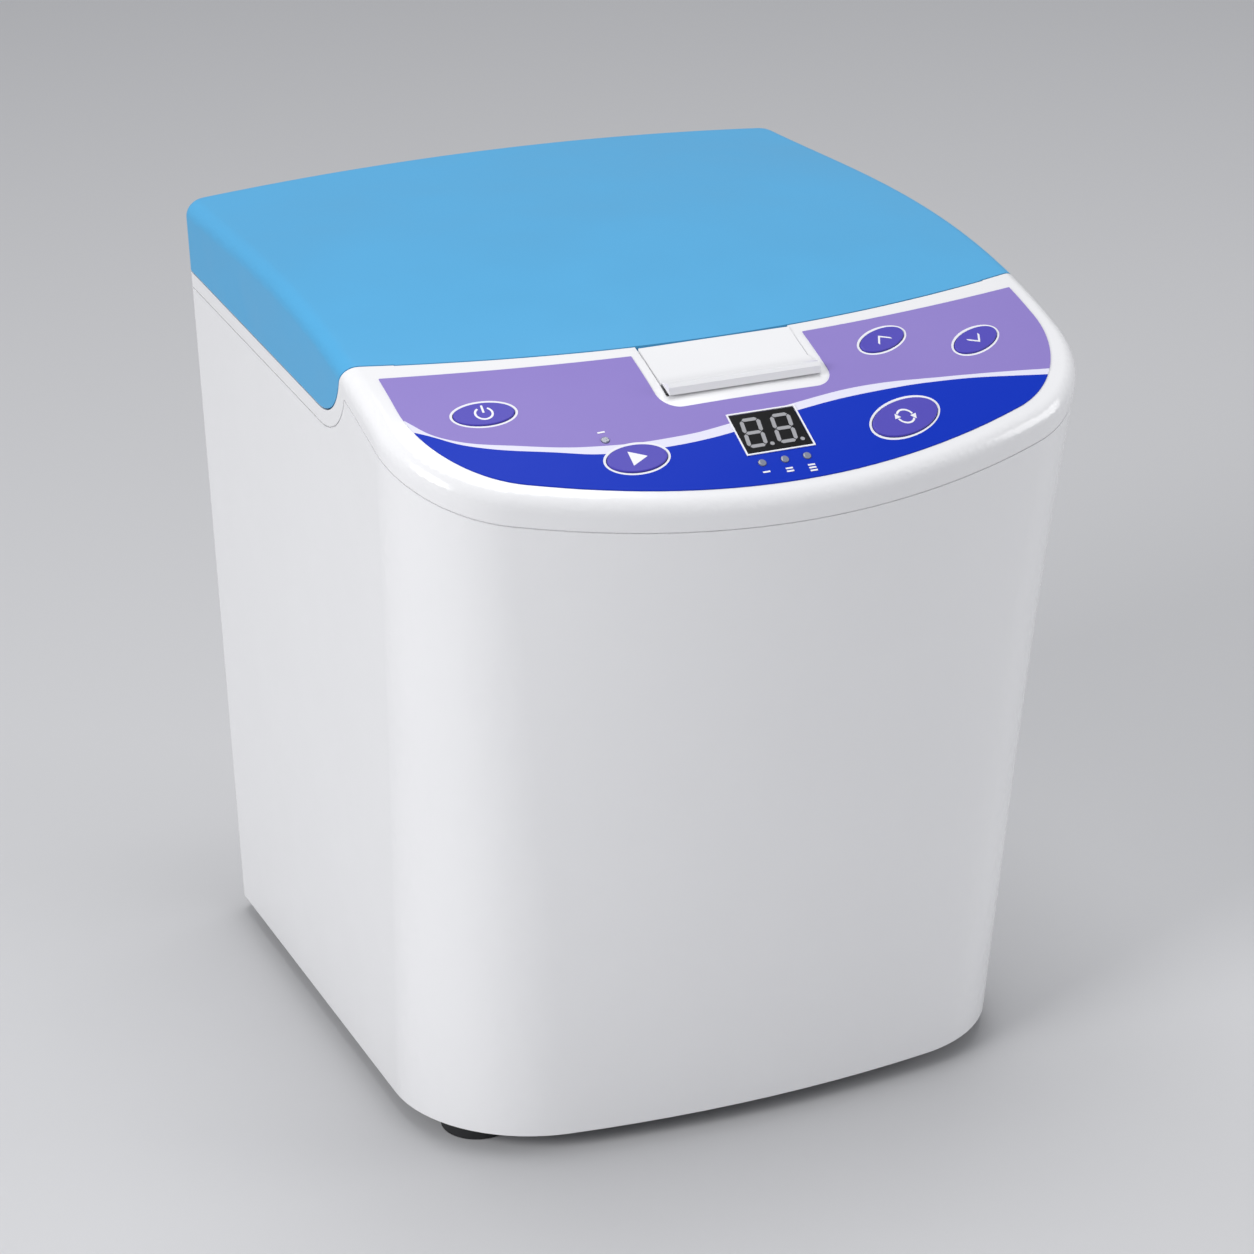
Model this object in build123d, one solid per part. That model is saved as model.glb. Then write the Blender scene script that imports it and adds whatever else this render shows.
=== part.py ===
from build123d import *
import os
from math import atan, cos, degrees, pi, radians, sin, sqrt, tan

# Dental impression mixer. Millimetres, +Z up, front towards -Y, origin on the table
# under the middle of the outline.

# ---- outer form: plan outline at the foot and at the rim, and what happens between
FOOT_GAP = 8.0            # underside of the housing above the table
RIM_Z = 262.0             # height of the front rim's parting line
FORM_TOP_Z = 335.0        # the form is built this high, then cut by the top surface
REAR_Y = 141.4            # rear wall at its foot
REAR_LEAN = 4.6           # how far the rear wall leans back up to the seam
HALF_REAR = 121.7         # half width at the rear, at the foot
HALF_FRONT = 126.0        # half width at the front corners, at the foot
SIDE_DRAFT = 0.031        # half width gained per mm of height
FRONT_Y = -118.8          # middle of the front wall at the foot
FRONT_LEAN = 32.1         # how far the front wall leans forward up to the rim
FRONT_SAG = 16.0          # bow of the front wall at the foot
RIM_SAG = 35.5            # bow of the front wall at the rim
CORNER_R = 57.2           # front corner radius at the foot
RIM_CORNER_R = 50.8       # front corner radius at the rim
REAR_CORNER_R = 9.0
RIM_FLARE = 3.6           # the rim flares out by this much at the front
WALL = 3.0                # moulded wall

# ---- top surface: a cubic along Y with a crown across X
TOP_REAR_Z = 315.0
TOP_SPAN = 300.0
TOP_SLOPE = 0.66
TOP_RISE = 46.36
TOP_FALL = -97.08
CROWN = 5.4
CROWN_HALF = 128.0
EDGE_R = 7.0              # rounding where the walls meet the top surface

# ---- seam between the lid and the frame
SEAM_REAR_Z = 286.3
SEAM_SLOPE = 0.027        # the seam drops towards the front
SEAM_TURN_Y = -27.1       # where the skirt's lower edge starts to curve up
SEAM_TURN_R = 31.0
SEAM_STEEP = 70.0         # how steep the curve gets, in degrees
BAND = 6.0                # height of the frame's band below the seam
RIM_DROP = 11.0           # parting line below the top surface at the front
GROOVE_H = 0.6            # shadow groove under the parting line
GROOVE_DEPTH = 1.1
LID_EDGE_Y = -80.2        # middle of the lid's front edge
LID_EDGE_SAG = 22.2       # how far the edge bows, over the whole width
LID_EDGE_HALF = 134.0
WELL_HALF = 120.0         # half width of the flat well under the lid
WELL_Z = 276.0            # top of the well's floor
SILL = 12.0               # sill behind the well
LID_GAP = 0.6
LIP_DEPTH = 15.0          # depth of the lid's front lip

# ---- fits
CLEAR = 0.3               # pieces that sit near each other
SLIDE_CLEAR = 0.4         # pieces that slide
RUN_CLEAR = 0.05          # shaft in a bearing, radial
SCREW_CLEAR = 0.2         # screw shank in a hole, radial

# ---- lower housing and base
LEDGE_T = 3.0
LEDGE_WIDTH = 12.0
PLATE_T = 2.0
PLATE_RECESS = 1.5        # base plate above the housing's lower edge
POST_R = 5.0
POST_X = 113.0
POST_YS = (-34.0, 122.0)
RIB_T = 3.0
FOOT_R = 15.5
FOOT_TAPER = 1.5
FOOT_X = 100.0
FOOT_FRONT_Y = -77.0
FOOT_REAR_Y = 112.0
PLATE_SCREW_YS = (-48.0, 22.0, 86.0)
VENT_SLOT_L = 34.0
VENT_SLOT_W = 3.4
VENT_PITCH = 8.0
VENT_COUNT = 9
REAR_VENT_X = -62.0
REAR_VENT_Z = 56.0

# ---- screws: shank radius, head radius, head height
M3_R, M3_HEAD_R, M3_HEAD_H = 1.5, 3.0, 2.0
M4_R, M4_HEAD_R, M4_HEAD_H = 2.0, 4.0, 2.6
SCREW_BITE = 9.0

# ---- mixing chamber
CHAMBER_Y = 27.0
CHAMBER_R = 95.0
BOWL_T = 1.5
BOWL_FLOOR_Z = 152.0
BOWL_CORNER_R = 18.0
BOWL_FLANGE = 7.0
GASKET_W = 4.5

# ---- drive
MOTOR_R = 42.0
MOTOR_H = 82.0
MOTOR_WALL = 3.0
ARMATURE_R = 28.0
ARMATURE_H = 46.0
MOUNT_T = 4.0
MOUNT_Z = 112.0           # underside of the motor mount plate
MOUNT_HALF = 64.0
MOUNT_POST_OFFSET = 52.0
MOUNT_POST_R = 7.0
DAMPER_H = 6.0
DAMPER_R = 10.0
SPINDLE_R = 7.0
HOUSING_R = 26.0
HOUSING_FLANGE_R = 45.0
HOUSING_FLANGE_T = 6.0
HOUSING_HEAD_R = 60.0
NECK_R = 20.0
NECK_RISE = 3.5
BEARING_R = 17.0
BEARING_H = 9.0
COLLAR_W = 6.5

# ---- rotor and planetary cup
HUB_R = 16.0
HUB_GAP = 1.5             # hub above the neck
HUB_H = 19.0
ARM_W = 26.0
ARM_T = 9.0
CUP_TILT = 30.0
CUP_ORBIT = 45.0          # cup centre to the spindle
CUP_Z = 222.0             # height of the cup's centre
CUP_R = 30.0
CUP_H = 62.0
CUP_WALL = 2.2
CAP_H = 7.0
CAP_OVERHANG = 2.6
CAP_SKIRT = 9.0
CAP_RIBS = 24
CAP_GRIP_W = 8.0
CAP_GRIP_H = 5.0
CARRIER_WALL = 2.6
CARRIER_FLOOR = 5.0
CARRIER_H = 30.0
CARRIER_WINDOWS = 6
CUP_BEARING_R = 9.5
BOSS_R = 14.0
BOSS_H = 16.0
STUB_R = 6.0
ROLLER_R = 16.0
ROLLER_H = 10.0
ROLLER_TYRE = 3.0
TRACK_TYRE = 4.0
ROLL_GAP = 0.2
TRACK_INNER_R = 46.0
WEIGHT_IN = 44.0
WEIGHT_OUT = 84.0
WEIGHT_W = 46.0
WEIGHT_H = 20.0
WEIGHT_PAD_Z = 172.0
WEIGHT_PAD_T = 9.0
WEIGHT_STEP = 6.0         # the pad is longer than the weight by this much
ARM_GAP = 2.0             # arm below the turning cup's carrier
ARM_BEND = -34.0          # where the arm starts to rise to the weight's pad

# ---- lid fittings
LINER_T = 3.0
LINER_Z = 285.0
LINER_MARGIN = 4.0
LINER_BOSS_R = 5.5
LINER_BOSS_X = 92.0
LINER_BOSS_YS = (-30.0, 106.0)
MAGNET_R = 5.0
SENSOR_X = -109.0
SENSOR_Y = 66.0
STRIKE_W = 40.0
STRIKE_H = 8.0
STRIKE_T = 1.2

# ---- rear hinges
HINGE_X = 74.0
HINGE_W = 46.0
HINGE_R = 4.0
PIN_R = 2.0
LEAF_T = 1.8
LEAF_H = 20.0
LEAF_KNUCKLE = 19.0
LEAF_SCREW_DZ = 12.0
LEAF_SCREW_DX = 14.0

# ---- latch in its bay
LATCH_X = -2.0
LATCH_Y = -94.0
LATCH_HALF = 30.3
LATCH_T = 5.2
LATCH_BACK = 14.0         # plate behind the latch's reference point
LATCH_FRONT = 7.4         # plate in front of it
LATCH_TRAVEL = 6.0
RIDGE_H = 3.6
BAY_WALL = 3.0
SPRING_R = 1.3
SPRING_WIRE = 0.5
SPRING_TURNS = 5
SPRING_PITCH = 1.1
SPRING_X = 19.0
RIDGE_PROFILE = ((3.0, 0.0), (8.0, 0.35), (11.0, 0.9), (12.2, 1.0))  # reach forward, share of height
RIDGE_END = 1.4           # the ridge's front edge leans back by this much
BAY_REAR = 22.0           # the bay's tray reaches this far behind the latch point

# ---- control panel
OVERLAY_T = 0.4
FILM_GLUE = 0.03          # glue line under the overlay
OVERLAY_HALF = 128.0      # half width at the rear edge
OVERLAY_FRONT_HALF = 129.3
OVERLAY_REAR_Y = -68.3
OVERLAY_REAR_SAG = 17.0
OVERLAY_FRONT_Y = -149.8
OVERLAY_FRONT_SAG = 31.8
OVERLAY_CORNER_R = 47.0
BAY_MARGIN = 4.2          # white strip round the latch bay
BAY_FRONT_Y = -112.9
BAY_CORNER_R = 8.0
KEY_RISE = 0.5            # key top above the overlay
KEY_TRAVEL = 0.5
KEY_FLANGE = 1.2
KEYS = {                  # x, y, half length, half width, turn in degrees
    "power": (-100.2, -98.6, 11.2, 5.9, -7.0),
    "start": (-55.4, -131.0, 11.4, 6.3, -1.0),
    "up": (60.4, -93.9, 11.2, 5.3, 24.0),
    "down": (97.2, -98.7, 11.8, 5.3, 27.0),
    "select": (50.7, -131.5, 15.0, 7.7, 17.0),
}
DISPLAY_X = -2.2
DISPLAY_Y = -129.0
DISPLAY_W = 25.4
DISPLAY_D = 18.6
DISPLAY_H = 8.0
DIGIT_W = 8.0
DIGIT_H = 14.2
DIGIT_PITCH = 12.0
DIGIT_SLANT = 8.0
SEGMENT_W = 1.5
LAMP_R = 1.45
MODE_LAMPS_Y = -141.4
MODE_LAMPS_X = (-11.5, -2.6, 6.2)
POWER_LAMP = (-63.3, -121.1)
BOARD_T = 1.6
BOARD_DEPTH = 17.0        # control board below the deck
BOARD_Y = -112.0
BOARD_HALF = 108.0
BOARD_REAR = 22.0
BOARD_FRONT = 34.0
BOARD_MARGIN = 9.0
BOARD_POSTS = ((-79.0, -88.0), (79.0, -88.0), (-24.0, -127.0), (24.0, -127.0))
SWITCH_SIZE = 6.0
KEY_STEM_R = 2.0
SEGMENT_T = 0.12
SEGMENT_GAP = 0.5
PRINT_Z = 190.0           # panel cutters start below the whole panel

# ---- driver board and mains inlet
DRIVER_X = 0.0
DRIVER_Y = -62.0
DRIVER_L = 150.0
DRIVER_W = 58.0
STANDOFF_H = 9.0
STANDOFF_R = 3.5
CAPACITOR_R = 9.0
CAPACITOR_H = 28.0
CAPACITOR_SPOTS = ((-40.0, 8.0), (-16.0, 8.0))       # from the board's middle
SINK = (22.0, 10.0, 44.0, 22.0, 26.0)                # x and y from the board's middle, length, width, height
SINK_SLOTS = 6
SINK_SLOT_W = 3.4
SINK_PITCH = 7.0
SINK_BASE = 4.0
INLET_HEADER = (52.0, -12.0, 20.0, 16.0, 15.0)
MOTOR_HEADER = (14.0, -16.0, 24.0, 10.0, 11.0)
PANEL_HEADER = (-20.0, -18.0, 26.0, 8.0, 3.0)
INLET_ROUTE = ((96.0, 88.0, 34.0), (104.0, 45.0, 26.0), (98.0, 0.0, 30.0), (76.0, -38.0, 56.0))
INLET_DROP = 62.0         # height from which the inlet's lead comes down to the board
PANEL_ROUTE = ((-26.0, -100.0, 110.0), (-32.0, -112.0, 165.0), (-36.0, -116.0, 215.0))
PANEL_LEAD_X = -40.0      # where the panel's lead meets the control board
LEAD_RISE = 30.0
INLET_X = 62.0
INLET_Z = 48.0
INLET_W = 58.0
INLET_H = 30.0
INLET_FLANGE_T = 2.5
INLET_BODY_W = 52.0
INLET_BODY_H = 25.0
INLET_DEPTH = 24.0
SOCKET_W = 24.5
SOCKET_H = 17.0
SOCKET_DEPTH = 17.0
SOCKET_DX = -9.0
DRAWER_W = 15.0
DRAWER_H = 20.0
DRAWER_DX = 14.5
DRAWER_DEPTH = 18.0
DRAWER_WALL = 2.0
FUSE_R = 2.5
FUSE_DEPTH = 9.5
FUSE_UP = 0.7             # the fuse lies this far above the drawer's middle
PIN_SPOTS = ((-7.0, -2.0), (7.0, -2.0), (0.0, 3.0))
PIN_LENGTH = 11.0
LEAD_R = 2.4

# ---- values worked out from the ones above
PLATE_Z = FOOT_GAP + PLATE_RECESS
PLATE_TOP = PLATE_Z + PLATE_T
LEDGE_Z = PLATE_TOP
LEDGE_TOP = LEDGE_Z + LEDGE_T
WELL_UNDER = WELL_Z - WALL
MOUNT_TOP = MOUNT_Z + MOUNT_T
NECK_TOP = BOWL_FLOOR_Z + NECK_RISE
HEAD_TOP = BOWL_FLOOR_Z - BOWL_T
HUB_Z = NECK_TOP + HUB_GAP
TILT = radians(CUP_TILT)
CUP_CENTRE = Vector(CUP_ORBIT, CHAMBER_Y, CUP_Z)
CUP_AXIS = Vector(-sin(TILT), 0, cos(TILT))
APEX_Z = CUP_Z + CUP_ORBIT / tan(TILT)
CARRIER_DOWN = CUP_H / 2 + CARRIER_FLOOR
BOSS_DOWN = CARRIER_DOWN + 2 * CLEAR
ROLLER_DOWN = BOSS_DOWN + BOSS_H + 2 * CLEAR
APEX_TO_CUP = CUP_ORBIT / sin(TILT)
ROLLER_ANGLE = atan(ROLLER_R / (APEX_TO_CUP + ROLLER_DOWN + ROLLER_H / 2))
TRACK_ANGLE = TILT - ROLLER_ANGLE
SPIN_RATIO = sin(TRACK_ANGLE) / sin(ROLLER_ANGLE)
FAR = 400.0


# ---------------------------------------------------------------- outer form
def rear_wall_y(z):
    """Where the leaning rear wall stands at height z."""
    return REAR_Y + REAR_LEAN * (z - FOOT_GAP) / (SEAM_REAR_Z - FOOT_GAP)


def side_half(y, z):
    """Half width of the straight side wall at y and z."""
    corner_y = FRONT_Y + FRONT_SAG
    share = (REAR_Y - y) / (REAR_Y - corner_y)
    return HALF_REAR + (HALF_FRONT - HALF_REAR) * share + SIDE_DRAFT * (z - FOOT_GAP)


def top_z(x, y):
    """Height of the lid and panel surface."""
    t = (rear_wall_y(SEAM_REAR_Z) - y) / TOP_SPAN
    ridge = TOP_REAR_Z + TOP_SLOPE * t + TOP_RISE * t ** 2 + TOP_FALL * t ** 3
    return ridge + CROWN * (1 - (x / CROWN_HALF) ** 2)


def bowed_outline(z, rear_y, half_rear, half_front, front_y, sag, corner_r, rear_r):
    """Closed outline: straight rear and sides, round corners, bowed front."""
    front_r = (half_front ** 2 + sag ** 2) / (2 * sag)
    front_centre = Vector(0, front_y + front_r)
    corner = Vector(half_front, front_y + sag)
    side = (Vector(half_rear, rear_y) - corner).normalized()
    inward = Vector(-side.Y, side.X)
    base = corner + inward * corner_r
    w = base - front_centre
    b = w.dot(side)
    root = sqrt(b * b - w.dot(w) + (front_r - corner_r) ** 2)
    run = min((-b + root, -b - root), key=lambda k: abs(k - corner_r))
    centre = base + side * run
    outward = inward * -1
    ahead = (centre - front_centre).normalized()
    side_end = centre + outward * corner_r
    corner_mid = centre + (outward + ahead).normalized() * corner_r
    front_end = centre + ahead * corner_r
    rear_base = corner + inward * rear_r
    rear_centre = rear_base + side * ((rear_y - rear_r - rear_base.Y) / side.Y)
    rear_side = rear_centre + outward * rear_r
    rear_mid = rear_centre + (outward + Vector(0, 1)).normalized() * rear_r
    rear_end = Vector(rear_centre.X, rear_y)

    def at(p, mirror=1):
        return (mirror * p.X, p.Y, z)

    return Face(Wire([
        Line(at(rear_end, -1), at(rear_end)),
        ThreePointArc(at(rear_end), at(rear_mid), at(rear_side)),
        Line(at(rear_side), at(side_end)),
        ThreePointArc(at(side_end), at(corner_mid), at(front_end)),
        ThreePointArc(at(front_end), (0, front_y, z), at(front_end, -1)),
        ThreePointArc(at(front_end, -1), at(corner_mid, -1), at(side_end, -1)),
        Line(at(side_end, -1), at(rear_side, -1)),
        ThreePointArc(at(rear_side, -1), at(rear_mid, -1), at(rear_end, -1)),
    ]))


def plan(z, inset):
    """Outline of the housing at height z, moved in by inset."""
    t = (z - FOOT_GAP) / (RIM_Z - FOOT_GAP)
    flare = RIM_FLARE * max(t, 0.0) ** 3
    draft = SIDE_DRAFT * (z - FOOT_GAP)
    return bowed_outline(
        z,
        rear_wall_y(z) - inset,
        HALF_REAR + draft - inset,
        HALF_FRONT + draft + flare - inset,
        FRONT_Y - FRONT_LEAN * t - flare + inset,
        FRONT_SAG + (RIM_SAG - FRONT_SAG) * t,
        CORNER_R + (RIM_CORNER_R - CORNER_R) * t - inset,
        max(REAR_CORNER_R - inset, 1.0),
    )


def form(inset, below=0.0):
    """The housing's outer form as a solid, moved in by inset."""
    steps = 4
    low = FOOT_GAP - below
    high = FORM_TOP_Z + below
    return loft([plan(low + (high - low) * i / steps, inset) for i in range(steps + 1)])


def under_top(drop=0.0):
    """Everything below the top surface moved down by drop."""
    stations = []
    count = 12
    y_rear = REAR_Y + REAR_LEAN + 15.0
    y_front = FRONT_Y - FRONT_LEAN - 20.0
    wide = HALF_FRONT + 50.0
    low = 90.0
    for i in range(count):
        y = y_rear + (y_front - y_rear) * i / (count - 1)
        side = top_z(wide, y) - drop
        stations.append(Face(Wire([
            Line((-wide, y, low), (wide, y, low)),
            Line((wide, y, low), (wide, y, side)),
            ThreePointArc((wide, y, side), (0, y, top_z(0, y) - drop), (-wide, y, side)),
            Line((-wide, y, side), (-wide, y, low)),
        ])))
    depth = y_rear - y_front
    block = Box(2 * wide, depth, low + 1.0, align=(Align.CENTER, Align.MIN, Align.MIN))
    return loft(stations) + block.moved(Location((0, y_front, 0)))


def rounded_top(solid, radius):
    """Round the edge where the walls meet the top surface."""
    faces = [f for f in solid.faces() if f.center().Z > SEAM_REAR_Z and f.normal_at().Z > 0.8]
    return fillet(faces[0].outer_wire().edges(), radius)


# ---------------------------------------------------------------- space under the lid
def seam_z(y):
    return SEAM_REAR_Z - SEAM_SLOPE * (rear_wall_y(SEAM_REAR_Z) - y)


def edge_y(x, back=0.0):
    """The lid's bowed front edge, moved back by a gap."""
    return LID_EDGE_Y + back + LID_EDGE_SAG * (x / LID_EDGE_HALF) ** 2


def prism_x(points, low_x, high_x):
    """Extrude a polygon of (y, z) points along X."""
    face = Face(Wire.make_polygon([(low_x, y, z) for y, z in points], close=True))
    return extrude(face, high_x - low_x, dir=(1, 0, 0))


def rear_space(grow, floor=None):
    """Above the straight part of the seam, grown by grow."""
    y0, y1 = SEAM_TURN_Y - 1.0, REAR_Y + REAR_LEAN + 30.0
    low0 = seam_z(y0) - grow if floor is None else floor
    low1 = seam_z(y1) - grow if floor is None else floor
    return prism_x([(y0, low0), (y1, low1), (y1, FAR), (y0, FAR)], -200.0, 200.0)


def corner_space(grow, side):
    """Above the curved front end of the skirt on one side, skewed to follow the lid's edge."""
    steep = radians(SEAM_STEEP)
    radius = SEAM_TURN_R + grow
    cz = seam_z(SEAM_TURN_Y) + SEAM_TURN_R
    end = (SEAM_TURN_Y - radius * sin(steep), cz - radius * cos(steep))
    mid = (SEAM_TURN_Y - radius * sin(steep / 2), cz - radius * cos(steep / 2))
    rise = FAR / 2
    inner_x = WELL_HALF - 4.0
    outer_x = side_half(SEAM_TURN_Y, SEAM_REAR_Z)
    far_x = outer_x + 12.0
    skew = 2 * LID_EDGE_SAG * outer_x / LID_EDGE_HALF ** 2

    def at(y, z, x):
        return (side * x, y + skew * (x - outer_x), z)

    def section(x):
        tip = (end[0] - rise / tan(steep), end[1] + rise)
        y_back = SEAM_TURN_Y + 6.0
        low = cz - radius
        return Face(Wire([
            ThreePointArc(at(SEAM_TURN_Y, low, x), at(*mid, x), at(*end, x)),
            Line(at(*end, x), at(*tip, x)),
            Line(at(*tip, x), at(y_back, tip[1], x)),
            Line(at(y_back, tip[1], x), at(y_back, low, x)),
            Line(at(y_back, low, x), at(SEAM_TURN_Y, low, x)),
        ]))

    return loft([section(inner_x), section(far_x)], ruled=True)


def well_space(grow, floor, rear_grow=None):
    """The flat well behind the bowed step, grown by grow."""
    half = WELL_HALF + grow
    rear = REAR_Y + REAR_LEAN - SILL + (grow if rear_grow is None else rear_grow)
    face = Face(Wire([
        Line((-half, rear, floor), (half, rear, floor)),
        Line((half, rear, floor), (half, edge_y(half, -grow), floor)),
        ThreePointArc((half, edge_y(half, -grow), floor), (0, edge_y(0, -grow), floor),
                      (-half, edge_y(half, -grow), floor)),
        Line((-half, edge_y(half, -grow), floor), (-half, rear, floor)),
    ]))
    return extrude(face, FAR - floor, dir=(0, 0, 1))


def lid_space(grow):
    """All that the frame leaves free for the lid."""
    space = rear_space(grow) + well_space(grow, WELL_Z - max(grow, 0.0))
    return space + corner_space(grow, 1) + corner_space(grow, -1)


def sill_space(extra=0.0):
    """Above the parting line between the frame's band and the housing, at the sides."""
    grow = BAND + extra
    return rear_space(grow) + corner_space(grow, 1) + corner_space(grow, -1)


# ---------------------------------------------------------------- small helpers
def cyl(x, y, z, r, h):
    """Upright cylinder standing on (x, y, z)."""
    return Pos(x, y, z) * Cylinder(r, h, align=(Align.CENTER, Align.CENTER, Align.MIN))


def ring(x, y, z, inner, outer, h):
    return cyl(x, y, z, outer, h) - cyl(x, y, z, inner, h)


def block(x, y, z, w, d, h):
    """Block standing on (x, y, z), centred there in plan."""
    return Pos(x, y, z) * Box(w, d, h, align=(Align.CENTER, Align.CENTER, Align.MIN))


def screw(plane, r, head_r, head_h, length):
    """Screw whose head stands on a plane's surface and whose shank goes in."""
    shank = Cylinder(r, length, align=(Align.CENTER, Align.CENTER, Align.MAX))
    head = Cylinder(head_r, head_h, align=(Align.CENTER, Align.CENTER, Align.MIN))
    socket = Pos(0, 0, head_h) * Box(head_r, head_r * 0.3, head_h, align=(Align.CENTER,) * 3)
    return plane.location * (shank + head - socket)


def down_screw(x, y, z, r, head_r, head_h, length):
    return screw(Plane((x, y, z)), r, head_r, head_h, length)


def up_screw(x, y, z, r, head_r, head_h, length):
    return screw(Plane((x, y, z), z_dir=(0, 0, -1)), r, head_r, head_h, length)


def panel_plane(x, y, turn=0.0):
    """Plane that touches the top surface at (x, y), with +Z out of the panel."""
    h = 0.5
    sx = (top_z(x + h, y) - top_z(x - h, y)) / (2 * h)
    sy = (top_z(x, y + h) - top_z(x, y - h)) / (2 * h)
    t = radians(turn)
    ahead = (cos(t), sin(t), sx * cos(t) + sy * sin(t))
    return Plane((x, y, top_z(x, y)), x_dir=ahead, z_dir=(-sx, -sy, 1))


def panel_slope(y):
    return degrees(atan(top_z(0, y + 0.5) - top_z(0, y - 0.5)))


def cup_plane(down=0.0):
    """Plane square to the cup's axis, down mm below the cup's centre."""
    return Plane(CUP_CENTRE - CUP_AXIS * down, x_dir=(cos(TILT), 0, sin(TILT)), z_dir=CUP_AXIS)


def on_cup_axis(solid, down=0.0):
    return cup_plane(down).location * solid


# ---------------------------------------------------------------- housing, frame, base
def screw_spots():
    """Base plate screws along both side ledges."""
    inset = WALL + LEDGE_WIDTH / 2
    return [(side * (side_half(y, LEDGE_Z) - inset), y) for side in (-1, 1) for y in PLATE_SCREW_YS]


def foot_spots():
    return [(side * FOOT_X, y) for side in (-1, 1) for y in (FOOT_FRONT_Y, FOOT_REAR_Y)]


def post_spots():
    return [(side * POST_X, y) for side in (-1, 1) for y in POST_YS]


def wall_plane(x, z):
    """Plane on the rear wall's outer face, +Z pointing out."""
    lean = REAR_LEAN / (SEAM_REAR_Z - FOOT_GAP)
    return Plane((x, rear_wall_y(z), z), x_dir=(-1, 0, 0), z_dir=(0, 1, -lean))


def leaf_screw_planes(lower):
    z = SEAM_REAR_Z + (-1 if lower else 1) * (HINGE_R + LEAF_SCREW_DZ)
    return [
        wall_plane(side * HINGE_X + dx, z)
        for side in (-1, 1)
        for dx in (-LEAF_SCREW_DX, LEAF_SCREW_DX)
    ]


def lower_housing(outer, inner):
    body = (outer & under_top(RIM_DROP)) - sill_space()
    body -= inner
    skin = outer - form(GROOVE_DEPTH)
    body -= skin - under_top(RIM_DROP + GROOVE_H)
    body -= skin & sill_space(GROOVE_H)
    ledge = extrude(plan(LEDGE_Z, WALL / 2), LEDGE_T, dir=(0, 0, 1))
    ledge -= extrude(plan(LEDGE_Z, WALL + LEDGE_WIDTH), LEDGE_T, dir=(0, 0, 1))
    body += ledge
    for x, y in post_spots():
        side = 1 if x > 0 else -1
        body += cyl(x, y, LEDGE_Z, POST_R, WELL_UNDER - CLEAR - LEDGE_Z)
        reach = side_half(y, LEDGE_Z) - WALL / 2 - abs(x)
        top = WELL_UNDER - 20.0
        wall_reach = side_half(y, top) - WALL / 2 - abs(x)
        rib = Face(Wire.make_polygon([
            (x, y - RIB_T / 2, LEDGE_Z), (x + side * reach, y - RIB_T / 2, LEDGE_Z),
            (x + side * wall_reach, y - RIB_T / 2, top), (x, y - RIB_T / 2, top)], close=True))
        body += extrude(rib, RIB_T, dir=(0, 1, 0))
        depth = 2 * SCREW_BITE
        body -= cyl(x, y, WELL_UNDER - CLEAR - depth, M3_R + SCREW_CLEAR, depth)
    for x, y in screw_spots():
        body -= cyl(x, y, LEDGE_Z - 1, M3_R + SCREW_CLEAR, LEDGE_T + 2)
    for plane in leaf_screw_planes(True):
        body -= plane.location * Cylinder(M3_R + SCREW_CLEAR, 4 * WALL)
    opening = Box(INLET_BODY_W + CLEAR, INLET_BODY_H + CLEAR, 4 * WALL)
    body -= wall_plane(INLET_X, INLET_Z).location * opening
    for i in range(VENT_COUNT):
        x = REAR_VENT_X + (i - (VENT_COUNT - 1) / 2) * VENT_PITCH
        slot = extrude(SlotOverall(VENT_SLOT_L, VENT_SLOT_W, rotation=90), 4 * WALL, both=True)
        body -= wall_plane(x, REAR_VENT_Z).location * slot
    return body


def latch_box(low, high):
    """Box given by two corners in the latch's own frame: X across, Y back, Z out."""
    size = [b - a for a, b in zip(low, high)]
    middle = [(a + b) / 2 for a, b in zip(low, high)]
    return panel_plane(LATCH_X, LATCH_Y).location * Pos(*middle) * Box(*size)


def bay_reach():
    """How far the bay goes in front of the latch's reference point."""
    return LATCH_FRONT + LATCH_TRAVEL + CLEAR


def panel_holes():
    """Everything that passes through the deck, as one list of cutters."""
    cutters = []
    for x, y, a, b, turn in KEYS.values():
        hole = extrude(Ellipse(a + CLEAR, b + CLEAR), 12.0, both=True)
        cutters.append(panel_plane(x, y, turn).location * hole)
    window = Box(DISPLAY_W + 2 * CLEAR, DISPLAY_D + 2 * CLEAR, 16.0)
    cutters.append(panel_plane(DISPLAY_X, DISPLAY_Y).location * window)
    for plane in lamp_planes():
        cutters.append(plane.location * Cylinder(LAMP_R + CLEAR / 2, 16.0))
    return cutters


def lamp_planes():
    spots = [(x, MODE_LAMPS_Y) for x in MODE_LAMPS_X] + [POWER_LAMP]
    return [panel_plane(x, y) for x, y in spots]


def board_plane():
    """Top face of the control board."""
    slope = radians(panel_slope(BOARD_Y))
    normal = Vector(0, -sin(slope), cos(slope))
    origin = Vector(0, BOARD_Y, top_z(0, BOARD_Y)) - normal * BOARD_DEPTH
    return Plane(origin, x_dir=(1, 0, 0), z_dir=normal)


def above_board():
    return board_plane().location * Box(500, 500, FAR, align=(Align.CENTER, Align.CENTER, Align.MIN))


def board_spot(x, y):
    """Point of the board's top face straight below the deck at (x, y)."""
    plane = board_plane()
    n = plane.z_dir
    o = plane.origin
    return Vector(x, y, o.Z - (n.X * (x - o.X) + n.Y * (y - o.Y)) / n.Z)


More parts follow.
